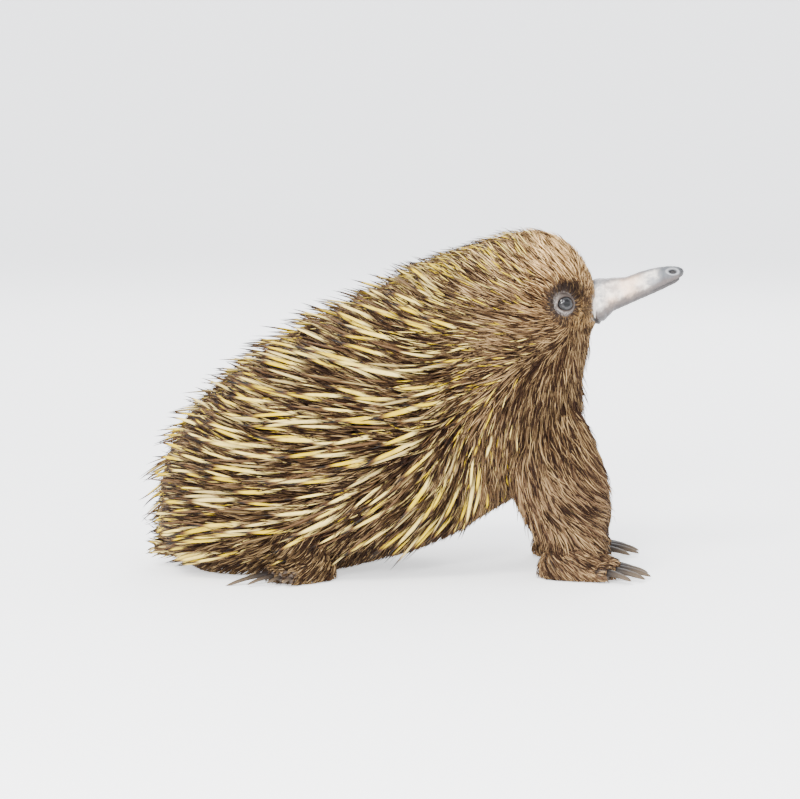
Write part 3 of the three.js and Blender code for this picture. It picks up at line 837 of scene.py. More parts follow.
@dataclass(frozen=True)
class SkinFinish:
    """Skin under the coat, with pale lids round the eyes and bare, creased grey-brown feet and ears."""

    markings: Markings = field(default_factory=Markings)
    covered: tuple = (0.022, 0.014, 0.010)
    hide: tuple[tuple, tuple] = ((0.050, 0.036, 0.028), (0.115, 0.083, 0.062))
    muzzle: tuple[tuple, tuple] = ((0.40, 0.37, 0.35), (0.76, 0.69, 0.61))
    # painted shade in the fold under the beak's base
    fold: tuple = (0.012, 0.009, 0.008)
    lid: tuple[tuple, tuple] = ((0.060, 0.050, 0.046), (0.23, 0.200, 0.182))
    upper_lid: tuple = (0.070, 0.054, 0.046)
    socket: tuple = (0.030, 0.019, 0.014)

    def material(self) -> bpy.types.Material:
        """Builds the material.

        Returns:
            The material.
        """
        tree = Tree("skin")
        place = tree.place()
        x, _, z = tree.parts(place)
        mirrored = tree.mirrored(place)
        colour = tree.mix(0.72, self.markings.colour(tree), self.covered)
        colour = tree.mix(self.markings.shade(tree), colour, self.markings.umber)
        bare = tree.own("bare")
        cloudy = tree.noise(place, 0.12, 4, 0.6)
        hide = tree.mix(cloudy.ramp(0.3, 0.7), *self.hide)
        colour = tree.mix(bare, colour, hide)
        _, wide, _ = tree.parts(mirrored)
        muzzle = x.ramp(128.5, 131) * z.ramp(186, 191) * z.ramp(211, 206) * wide.ramp(22.5, 17)
        colour = tree.mix(muzzle, colour, tree.mix(cloudy, *self.muzzle))
        bow = tree.away_from(tree.stretched(place, (1, 0, 1)), CHIN_FOLD)
        # painted shade: a dark arc in the fold under the beak's base
        fold = bow.ramp(5.9, 6.6) * (1 - bow.ramp(7.8, 8.5)) * (1 - z.ramp(*CHIN_TOP))
        colour = tree.mix(fold, colour, self.fold)
        centre = Eye(Side.LEFT).centre
        away = tree.away_from(mirrored, tuple(centre))
        ragged = (tree.noise(place, 0.6, 3) - 0.5) * 2.6
        lid = away.ramp(8.2, 8.9) * (1 - (away + ragged).ramp(9.2, 10.4))
        pale = tree.mix(tree.noise(place, 0.8, 4).ramp(0.35, 0.65), *self.lid)
        upper = (z - centre[2]) * 0.8 + (x - centre[0]) * 0.6
        pale = tree.mix(upper.ramp(-4, 5, 0, 0.8), pale, self.upper_lid)
        colour = tree.mix(1 - away.ramp(11.5, 13), colour, self.socket)
        colour = tree.mix(lid, colour, pale)
        settings = {"feature": "DISTANCE_TO_EDGE"}
        cells = tree.node("ShaderNodeTexVoronoi", settings, {"Vector": place, "Scale": 0.62})
        creases = cells.ramp(0.0, 0.16) + tree.noise(place, 1.4, 4) * 0.4
        bump = tree.bump(creases, 0.55, 0.5)
        return tree.shade(Base_Color=colour, Roughness=0.66, Normal=bump, Specular_IOR_Level=0.35)


@dataclass(frozen=True)
class BeakFinish:
    """Bare beak skin: pale grey with a pinkish middle, darker at the tip, with painted shade along the
    underside.
    """

    clouds: tuple[tuple, tuple] = ((0.24, 0.235, 0.24), (0.86, 0.79, 0.70))
    blush: tuple = (0.92, 0.62, 0.42)
    fore: tuple = (0.052, 0.059, 0.070)
    # painted shade along the underside, and its darkest line along the bottom edge
    under: tuple = (0.075, 0.058, 0.053)
    deepest: tuple = (0.018, 0.014, 0.014)
    crest: tuple = (0.050, 0.050, 0.058)
    tip: tuple = (0.014, 0.013, 0.014)
    pore: tuple = (0.16, 0.145, 0.14)
    rim: tuple = (0.27, 0.27, 0.28)
    # painted shade in the mouth, the nostrils and the fold under the base
    hollow: tuple = (0.012, 0.010, 0.010)

    def material(self) -> bpy.types.Material:
        """Builds the material.

        Returns:
            The material.
        """
        tree = Tree("beak_skin")
        place = tree.place()
        x, _, _ = tree.parts(place)
        cloudy = tree.noise(place, 0.085, 5, 0.62)
        colour = tree.mix(cloudy.ramp(0.38, 0.62), *self.clouds)
        middle = x.ramp(138, 150) * (1 - x.ramp(160, 176))
        blush = middle * tree.noise(place, 0.06, 2).ramp(0.35, 0.6, 0.25, 0.85)
        colour = tree.mix(blush, colour, self.blush)
        colour = tree.mix((x + (cloudy - 0.5) * 8).ramp(178, 186, 0, 0.96), colour, self.fore)
        # painted shade: darker towards the underside, a little more towards the front, and darkest along the
        # bottom edge
        under = tree.own("under") + x.ramp(172, 194, 0, 0.14)
        # noise that roughens the edges of the painted underside shade, the dark top line and the dark tip
        shade_and_tip_wobble = (tree.noise(place, 0.25, 4, 0.65) - 0.5) * 0.3
        colour = tree.mix((under + shade_and_tip_wobble).ramp(0.46, 0.74, 0, 0.95), colour, self.under)
        colour = tree.mix((under + shade_and_tip_wobble).ramp(0.72, 0.92, 0, 0.85), colour, self.deepest)
        colour = tree.mix((under + shade_and_tip_wobble * 0.3).ramp(0.16, 0.02, 0, 0.85), colour, self.crest)
        colour = tree.mix((x + shade_and_tip_wobble * 8).ramp(196.5, 201.5, 0, 0.95), colour, self.tip)
        pores = tree.noise(tree.stretched(place, (0.8, 1, 1)), 1.5, 5, 0.65)
        colour = tree.mix(pores.ramp(0.56, 0.70, 0, 0.45), colour, self.pore)
        colour = tree.mix(tree.own("rim"), colour, self.rim)
        # painted shade in the mouth's groove, the nostril pits and the chin fold
        colour = tree.mix(tree.own("hollow"), colour, self.hollow)
        lines = tree.noise(tree.stretched(place, (1, 0.22, 0.22)), 1.0, 4, 0.55)
        bump = tree.bump(lines + pores * 0.5, 0.4, 0.45)
        return tree.shade(Base_Color=colour, Roughness=0.5, Normal=bump, Coat_Weight=0.08)


@dataclass(frozen=True)
class EyeFinish:
    """A wet dark eye: black pupil, narrow grey-brown iris and a dark rim."""

    iris: tuple[tuple, tuple] = ((0.006, 0.006, 0.007), (0.045, 0.043, 0.043))
    pupil: tuple = (0.0015, 0.0015, 0.002)
    rim: tuple = (0.002, 0.0015, 0.0015)

    def material(self) -> bpy.types.Material:
        """Builds the material.

        Returns:
            The material.
        """
        tree = Tree("eyes")
        ring = tree.own("ring")
        streaks = tree.noise(tree.place(), 1.6, 4, 0.7)
        iris = tree.mix(streaks.ramp(0.35, 0.7), *self.iris)
        colour = tree.mix(ring.ramp(2.7, 3.2), self.pupil, iris)
        colour = tree.mix(ring.ramp(3.7, 4.6), colour, self.rim)
        return tree.shade(Base_Color=colour, Roughness=0.3, Coat_Weight=0.7, Coat_Roughness=0.03,
                          Specular_IOR_Level=0.0)


@dataclass(frozen=True)
class ClawFinish:
    """Horn claws: dark at the root, worn pale at the tip, with fine ridges along them."""

    root: tuple = (0.010, 0.007, 0.006)
    tip: tuple = (0.085, 0.060, 0.038)

    def material(self) -> bpy.types.Material:
        """Builds the material.

        Returns:
            The material.
        """
        tree = Tree("claws")
        along = tree.own("along")
        grain = tree.noise(tree.place(), 0.8, 4, 0.6)
        worn = (along + (grain - 0.5) * 0.5).ramp(0.15, 1.0)
        colour = tree.mix(worn, self.root, self.tip)
        bump = tree.bump(grain, 0.35, 0.25)
        return tree.shade(Base_Color=colour, Roughness=0.55, Normal=bump, Specular_IOR_Level=0.22)


@dataclass(frozen=True)
class FloorFinish:
    """A plain pale floor."""

    pale: tuple[tuple, tuple] = ((0.90, 0.905, 0.915), (0.925, 0.93, 0.94))
    glow: tuple = (1.0, 1.0, 1.0)
    power: float = 0.9

    def material(self) -> bpy.types.Material:
        """Builds the material.

        Returns:
            The material.
        """
        tree = Tree("floor")
        colour = tree.mix(tree.noise(tree.place(), 0.002, 2), *self.pale)
        return tree.shade(Base_Color=colour, Roughness=0.8, Emission_Color=self.glow,
                          Emission_Strength=self.power)


# The skin

@dataclass(frozen=True)
class Foreleg:
    """A foreleg, from the shoulder down into the foot."""

    x: float = 112
    y: float = 58
    half_length: float = 35
    half_width: float = 26
    ankle: float = 24
    fur: float = 4.5
    inset: float = 2.5  # how far the skin lies inside the frame's leg, under its fur

    def surface(self, side: Side) -> Limb:
        """The skin of the leg.

        Args:
            side: The side of the animal.

        Returns:
            The leg.
        """
        x, y = self.x, side.value * self.y
        long, wide = self.half_length, self.half_width
        rings = (  # the middle, half the length and half the width
            ((84, y * 0.5, 146), 27, 16),
            ((91, y * 0.66, 118), 40, 24),
            ((100.5, y * 0.86, 88), 43, 27),
            ((108.5, y * 0.97, 58), long + 3.5, wide + 1),
            ((x, y, 38), long - 3, wide),
            ((x + 5, y, self.ankle), long - 11, wide - 3),
            ((x + 6, y, 12), long - 12, wide - 5),
        )
        thinner = self.fur + self.inset
        return Limb([(at, (a - thinner, 0, (thinner - a) * 0.12), (0, b - thinner, 0)) for at, a, b in rings])


@dataclass(frozen=True)
class Hindleg:
    """A hind leg, folded under the flank."""

    x: float = -84
    y: float = 74
    radius: float = 21
    ankle: float = 20
    inset: float = 2.5

    def surface(self, side: Side) -> Limb:
        """The skin of the leg.

        Args:
            side: The side of the animal.

        Returns:
            The leg.
        """
        x, y = self.x, side.value * self.y
        rings = (  # the middle and the share of the radius
            ((x - 12, y * 0.7, 60), 0.9),
            ((x - 4, y * 0.95, 38), 1.1),
            ((x, y, self.ankle), 0.8),
            ((x, y, 10), 0.72),
        )
        sized = [(at, self.radius * size - self.inset) for at, size in rings]
        return Limb([(at, (size * 1.15, 0, 0), (0, size, 0)) for at, size in sized])


@dataclass(frozen=True)
class Tail:
    """The stub of a tail."""

    x: float = -172
    z: float = 21
    length: float = 27
    radius: float = 9.5
    inside: float = 14  # how far its root lies inside the rump

    def surface(self) -> Limb:
        """The skin of the tail.

        Returns:
            The tail, from inside the rump to its tip.
        """
        shares = ((0, 0.95), (0.3, 0.86), (0.6, 0.66), (0.85, 0.38), (0.97, 0.12))
        rings = []
        for ahead, size in [(self.inside, 1.0)] + [(-share * self.length, size) for share, size in shares]:
            wide = self.radius * size
            rings.append(((self.x + ahead, 0, self.z + ahead * 0.25), (0, 0, wide), (0, -wide * 1.1, 0)))
        return Limb(rings)


FORELEG, HINDLEG, TAIL = Foreleg(), Hindleg(), Tail()


def grid(rings: int, sides: int) -> tuple[Array, Array]:
    """The coordinates of even rings and sides over a surface."""
    return np.meshgrid(np.linspace(0, 1, rings), np.arange(sides) / sides, indexing="ij")


def grid_of(surface: Surface, rings: int, sides: int) -> Array:
    """Points of a surface by ring and side."""
    return surface.at(*grid(rings, sides))


@dataclass
class Foot:
    """A flat-soled foot with five toes, and the places of its claws."""

    side: Side
    x: float
    y: float
    turn: float  # degrees outwards from straight ahead
    length: float
    half_width: float
    height: float
    claw: float
    claw_width: float
    shares: tuple[float, ...]  # each claw's share of the full length
    spread: float  # radians from the middle toe to the outer ones
    heel: float = 0.4  # the share of the length behind the leg
    toe: float = 0.24  # the share of the length that a toe reaches

    def placed(self, points: Array) -> Array:
        """Puts points of the foot, drawn from its heel along +x, where the foot stands.

        Args:
            points: Points of the foot.

        Returns:
            The points in the body's frame.
        """
        angle = -math.radians(self.turn)
        local = points - np.array([self.heel * self.length, 0, 0])
        x = local[..., 0] * math.cos(angle) - local[..., 1] * math.sin(angle)
        y = local[..., 0] * math.sin(angle) + local[..., 1] * math.cos(angle)
        return np.stack([x + self.x, (y - self.y) * -self.side.value, local[..., 2]], axis=-1)

    def toes(self) -> list[tuple[Array, Array, float, float]]:
        """The root of each toe, the way it points, its width and its claw's share of the full length.

        Returns:
            One row for each toe, in order across the foot.
        """
        found = []
        for i, share in enumerate(self.shares):
            across = i / (len(self.shares) - 1) * 2 - 1
            turn = across * self.spread
            ahead = np.array([math.cos(turn), math.sin(turn), 0])
            reach = self.length * (0.76 - 0.1 * across ** 2)
            root = np.array([reach, across * self.half_width * 0.74, self.height * 0.2])
            found.append((root, ahead, self.claw_width * (0.72 + 0.28 * share), share))
        return found

    def pad(self) -> Limb:
        """The foot without its toes, drawn from the heel.

        Returns:
            The pad.
        """
        stations = ((-0.12, 0.15, 0.22), (-0.07, 0.42, 0.5), (0.04, 0.7, 0.82), (0.2, 0.88, 0.98),
                    (0.42, 1, 0.92), (0.64, 0.98, 0.6), (0.82, 0.84, 0.38))
        rings = []
        for along, wide, high in stations:
            tall = self.height * high
            centre = (self.length * along, 0, tall * 0.42)
            rings.append((centre, (0, 0, tall * 0.58), (0, self.half_width * wide, 0)))
        return Limb(rings)

    def digits(self) -> list[Limb]:
        """The toes without their claws, drawn from the heel of the foot.

        Returns:
            The toes.
        """
        made = []
        shape = ((-0.3, 0.7, 0.15), (0, 0.75, 0.19), (0.35, 0.7, 0.18), (0.65, 0.8, 0.2), (1.02, 0.5, 0.13))
        reach = self.length * self.toe
        for root, ahead, width, _ in self.toes():
            sideways = np.array([-ahead[1], ahead[0], 0])
            made.append(Limb([
                (root + ahead * reach * along, (0, 0, self.height * high), sideways * width * wide)
                for along, wide, high in shape
            ]))
        return made

    def pieces(self) -> list[bpy.types.Object]:
        """The pad and the toes as closed shapes."""
        return [self._tube(self.pad(), 24, 32)] + [self._tube(digit, 14, 16) for digit in self.digits()]

    def _tube(self, limb: Limb, rings: int, sides: int) -> bpy.types.Object:
        """A closed shape of one limb, set on the floor.

        Args:
            limb: The pad or a toe.
            rings: How many rings it has.
            sides: How many points each has.

        Returns:
            The object.
        """
        points = self.placed(grid_of(limb, rings, sides))
        points[..., 2] = np.maximum(points[..., 2], FLOOR)
        return closed_tube("toe", points)


class FootTop(Surface):
    """A foot's pad or toe where it stands, for its short fur."""

    def __init__(self, foot: Foot, limb: Limb) -> None:
        """Takes the pad or a toe of a foot."""
        self.foot, self.limb = foot, limb
        self.turned = -foot.side.value

    def at(self, u: Array, v: Array) -> Array:
        """The points at coordinates: v runs round from the top."""
        return self.foot.placed(self.limb.at(u, v))


def feet() -> list[tuple[str, Foot]]:
    """The four feet with the first word of each one's name.

    Returns:
        Pairs of the word and the foot.
    """
    made = []
    for side in Side:
        made.append(("fore", Foot(
            side, FORELEG.x + 8, FORELEG.y, turn=8, length=52, half_width=23, height=34, claw=24,
            claw_width=8.4, shares=(0.8, 0.95, 1, 0.95, 0.78), spread=0.42)))
        made.append(("hind", Foot(
            side, HINDLEG.x, HINDLEG.y, turn=145, length=46, half_width=16, height=30, claw=17,
            claw_width=4.6, shares=(0.6, 2, 1.3, 0.8, 0.6), spread=0.4)))
    return made


@dataclass
class Eye:
    """An eyeball in its socket, a little flatter in front."""

    side: Side
    gap: float = 5.85  # half the opening between the lids
    rings: int = 56
    sides: int = 64
    lid_sides: int = 72
    centre: Array = field(init=False)
    normal: Array = field(init=False)

    def __post_init__(self) -> None:
        """Finds the eye's place on the head."""
        point, normal = TRUNK_SURFACE.nearest(EYE_X, EYE_Z, self.side)
        self.centre = point + normal * (short_fur(point) - EYE_SUNK)
        self.normal = unit(mixed(normal, np.array([0.05, self.side.value, 0.06]), 0.38))

    def axes(self) -> tuple[Array, Array]:
        """The ways ahead and up across the front of the eye."""
        ahead = flattened(np.array([1.0, 0, 0.12]), self.normal)
        return ahead, np.cross(self.normal, ahead) * -self.side.value

    def build(self) -> bpy.types.Object:
        """Builds the eyeball.

        Returns:
            The object.
        """
        ahead, up = self.axes()
        tilts = np.linspace(0.001, np.pi - 0.001, self.rings)
        tilt, turn = np.meshgrid(tilts, even_turns(self.sides), indexing="ij")
        ring = EYE_RADIUS * np.sin(tilt)
        in_front = tilt < 1.5
        flat = np.where(in_front, 1 - smooth(ring, 2.5, 6.5), 0)
        out = EYE_RADIUS * np.cos(tilt) + (EYE_RADIUS * (1 - np.cos(tilt)) * 0.42 - 0.25) * flat
        along, tall = (ring * np.cos(turn))[..., None], (ring * np.sin(turn))[..., None]
        points = self.centre + along * ahead + tall * up + out[..., None] * self.normal
        eye = closed_tube(f"eyeball_{self.side.word}", points)
        store(eye, "ring", np.where(in_front, ring, EYE_RADIUS).ravel())
        return eye

    def lids(self) -> bpy.types.Object:
        """The ring of lids, thicker above, which closes on the eyeball with an almond opening.

        Returns:
            The object.
        """
        ahead, up = self.axes()
        turn = even_turns(self.lid_sides)
        cos, sin = np.cos(turn), np.sin(turn)
        corner = 1 + 0.10 * np.cos(2 * turn)
        opening = self.gap * corner * np.where(sin > 0, 0.93, 0.97)
        section = ((-0.35, -0.5), (0.0, 0.05), (0.35, 0.4), (0.85, 0.5), (1.5, 0.25), (2.2, -0.35),
                   (2.9, -1.2), (3.6, -2.3), (4.4, -3.9), (3.4, -4.6), (0.9, -3.1))
        uneven = 1 + 0.05 * np.sin(3 * turn + 0.7) + 0.03 * np.sin(7 * turn)
        uneven -= 0.28 * np.maximum(cos, 0) + 0.16 * np.maximum(sin, 0)
        edge = np.sqrt(EYE_RADIUS ** 2 - opening ** 2)
        rings = []
        for out, height in section:
            radius, level = opening + out * uneven, edge + height * np.where(sin > 0, 1.2, 1.0)
            rings.append(self.centre + (radius * cos)[:, None] * ahead + (radius * sin)[:, None] * up
                         + level[:, None] * self.normal)
        faces = tube_faces(len(rings) + 1, len(turn)) % (len(rings) * len(turn))  # the last ring is the first
        lids = mesh_of("lids", np.stack(rings).reshape(-1, 3), faces)
        mend(lids)
        apply_modifier(lids, "SUBSURF", levels=1)
        return lids


def store(obj: bpy.types.Object, name: str, values: Array) -> None:
    """Keeps a number at each point of an object, for its material."""
    attribute = obj.data.attributes.new(name, "FLOAT", "POINT")
    attribute.data.foreach_set("value", np.broadcast_to(values, (len(obj.data.vertices),)).astype(np.float32))


def points_of(obj: bpy.types.Object) -> Array:
    """The points of an object in millimetres in the body's frame.

    Args:
        obj: The object.

    Returns:
        One row for each point.
    """
    flat = np.empty(len(obj.data.vertices) * 3, np.float32)
    obj.data.vertices.foreach_get("co", flat)
    return flat.reshape(-1, 3).astype(float) / MM + np.array([SHIFT, 0, 0])


@dataclass(frozen=True)
class Ear:
    """A low half cup of gristle, open to the front."""

    side: Side
    x: float = 92
    z: float = 188
    height: float = 20
    width: float = 12
    rim: float = 1.5
    tall: float = 3.0
    sunk: float = 3.0  # how far its middle lies under the head's fur
    half_turn: float = 1.95  # radians from the cup's middle to each end

    def build(self) -> bpy.types.Object:
        """Builds the ear.

        Returns:
            The object.
        """
        point, normal = TRUNK_SURFACE.nearest(self.x, self.z, self.side)
        surface = point + normal * (short_fur(point) - self.sunk)
        up = flattened(np.array([0.25, 0, 1.0]), normal)
        back = np.cross(up, normal)
        back = back if back[0] < 0 else -back
        turn = np.linspace(-self.half_turn, self.half_turn, 40)
        end = 1 - 0.5 * np.abs(turn / self.half_turn) ** 3
        out = (np.cos(turn)[:, None] * back * self.width * 0.5
               + np.sin(turn)[:, None] * up * self.height * 0.5)
        round_ = even_turns(14)
        thick = (self.rim * 0.75 * end)[:, None, None] * unit(out)[:, None, :] * np.cos(round_)[None, :, None]
        tall = (self.tall * end)[:, None, None] * normal * np.sin(round_)[None, :, None]
        return closed_tube("ear", (surface + out)[:, None, :] + thick + tall)


@dataclass
class Skin:
    """One skin over trunk, head, tail, legs and feet, with the ears and lids on it."""

    voxel: float = 1.9
    skin: bpy.types.Object = field(init=False)

    def build(self) -> bpy.types.Object:
        """Builds the skin.

        Returns:
            The skin, which is also kept as a field.
        """
        u, v = grid(120, 96)
        points = TRUNK_SURFACE.at(u, v)
        _, _, normals = TRUNK_SURFACE.slopes(u, v)
        trunk = closed_tube("trunk", points + normals * skin_level(points)[..., None])
        parts = [trunk, closed_tube("tail", grid_of(TAIL.surface(), 24, 28))]
        for side in Side:
            for limb in (FORELEG.surface(side), HINDLEG.surface(side)):
                parts.append(closed_tube("leg", grid_of(limb, 40, 48)))
        for _, foot in feet():
            parts += foot.pieces()
        self.skin = joined("skin", parts)
        apply_modifier(self.skin, "REMESH", mode="VOXEL", voxel_size=self.voxel * MM)
        apply_modifier(self.skin, "SMOOTH", factor=0.5, iterations=4)
        flat = points_of(self.skin)
        flat[:, 2] = np.maximum(flat[:, 2], 0.05)
        self.skin.data.vertices.foreach_set("co", in_frame(flat).astype(np.float32).ravel())
        self.skin.data.shade_smooth()
        store(self.skin, "bare", self._bare(flat))
        extras = []
        for side in Side:
            lids, ear = Eye(side).lids(), Ear(side).build()
            store(lids, "bare", 0)
            store(ear, "bare", 0.3)
            extras += [lids, ear]
        return joined("skin", [self.skin, *extras])

    @staticmethod
    def _bare(points: Array) -> Array:
        """Where the skin is bare: the feet.

        Args:
            points: Points of the skin.

        Returns:
            Shares from 0 to 1.
        """
        x, out, z = points[:, 0], np.abs(points[:, 1]), points[:, 2]
        fore = smooth(-z, -21, -15) * smooth(x, 70, 90)
        hind = smooth(-z, -17, -11) * smooth(-x, -10, 20) * smooth(out, 48, 58)
        return np.maximum(fore, hind)

    def dress(self, finish: SkinFinish) -> None:
        """Gives the skin its finish and its place in the frame.

        Args:
            finish: The skin's finish.
        """
        self.skin.data.materials.append(finish.material())
        names = ["rump", "back", "shoulders", "neck", "head", "tail"]
        for side in Side:
            names += [f"{part}_{side.word}" for part in ("ear", "foreleg", "forefoot", "hindleg", "hindfoot")]
        settle(self.skin, names)


# The coat

@dataclass(frozen=True)
class Strands:
    """Many tapered strands as one mesh, each with a patch of its own on the bake map."""

    name: str
    sides: int
    flatness: float = 0.75
    patch: float = 0.003  # how wide each strand's patch of the map is
    margin: float = 0.01

    def build(self, paths: Array, across: Array, widths: Array, tones: Array,
              roots: Array) -> bpy.types.Object:
        """Builds the mesh: rings of points, closed by a point at the tip and by faces at the root.

        Args:
            paths: Points by strand and step, from root to tip.
            across: The way across each strand at each step.
            widths: Half widths by strand and step.
            tones: A number from 0 to 1 for each strand.
            roots: The place of each root on the skin's own unwrap.

        Returns:
            The object.
        """
        count, steps, _ = paths.shape
        rings, sides = steps - 1, self.sides
        ahead = unit(np.gradient(paths, axis=1))
        up = unit(np.cross(ahead, across))
        turn = even_turns(sides) + np.pi / 2
        half = widths[:, :rings, None, None]
        ring = (paths[:, :rings, None] + across[:, :rings, None] * np.cos(turn)[:, None] * half
                + up[:, :rings, None] * np.sin(turn)[:, None] * half * self.flatness)
        points = np.concatenate([ring.reshape(count, -1, 3), paths[:, -1:]], axis=1)
        points[..., 2] = np.maximum(points[..., 2], FLOOR)
        quads = tube_faces(rings, sides)
        side = np.arange(sides)
        top = (rings - 1) * sides
        tip = np.stack([top + side, top + (side + 1) % sides, np.full(sides, rings * sides)], axis=1)
        root = np.stack([np.zeros(sides - 2, int), side[2:], side[1:-1]], axis=1)
        one = np.concatenate([quads[:, [0, 1, 2]], quads[:, [0, 2, 3]], tip, root])
        total = points.shape[1]
        every = (one[None] + np.arange(count)[:, None, None] * total).reshape(-1, 3)
        obj = mesh_of(self.name, points.reshape(-1, 3), every)
        along = np.append(np.repeat(np.arange(rings) / rings, sides), 1.0)
        # how far up round its strand each point lies, 1 on top and 0 underneath, from which the finishes
        # paint shade on the sides and underside
        ridge = np.append(np.tile(0.5 + 0.5 * np.sin(turn), rings), 0.8)
        store(obj, "along", np.tile(along, count))
        store(obj, "ridge", np.tile(ridge, count))
        store(obj, "tone", np.repeat(tones, total))
        wide = np.append(np.tile(np.abs(side / sides * 2 - 1), rings), 0.5)
        spread = np.ptp(roots, axis=0)
        room = 1 - 2 * self.margin - self.patch
        held = self.margin + (roots - roots.min(axis=0)) / np.maximum(spread, 1e-6) * room
        uv = held[:, None] + self.patch * np.stack([wide, along], axis=1)[None]
        layer = obj.data.uv_layers.new(name="OFBake")
        layer.uv.foreach_set("vector", uv.reshape(-1, 2)[every.ravel()].astype(np.float32).ravel())
        return obj


class Cover(Enum):
    """What a stretch of coat is made of."""

    HAIR = "fur"
    HORN = "spines"


@dataclass(frozen=True)
class Pelt:
    """One stretch of coat: where it grows, how close it stands and the shape of its strands."""

    name: str
    surfaces: tuple[Surface, ...]
    along: float  # millimetres between rows of roots
    apart: float  # millimetres between the roots of a row
    grows: Measure  # the chance that a strand grows at a place
    length: Measure
    rise: Measure  # how far the tips stand off the trunk's surface, or the limb's
    half_width: float
    steps: int = 5
    sides: int = 3
    cover: Cover = Cover.HAIR
    shape: tuple[float, ...] = (0.8, 1.0, 0.72)  # widths at the root, a third and two thirds of the way
    lifts: float = 0.7  # below 1 a strand rises early and then lies flat, at 1 it is straight
    follows: float = 1.0  # how much a strand bends with the skin, 0 for straight
    wild: float = 1.0  # how much strands stray from the lie
    clump: float = 5.0  # millimetres across a tuft, whose strands lie and shade alike
    tone: tuple[float, float] = (0.5, 0.25)  # the middle and the spread of how pale strands are
    loose: float = 0.0  # the share of strands that stand off further than the rest
    raised: float = 0.0  # the steepest that strands stand, in degrees, where they keep under their rise
    jitter: float = 0.48
    droop: float = 0.0  # how much more strands hang down than the lie has it
    way: tuple[float, float, float] | None = None  # a lie of its own


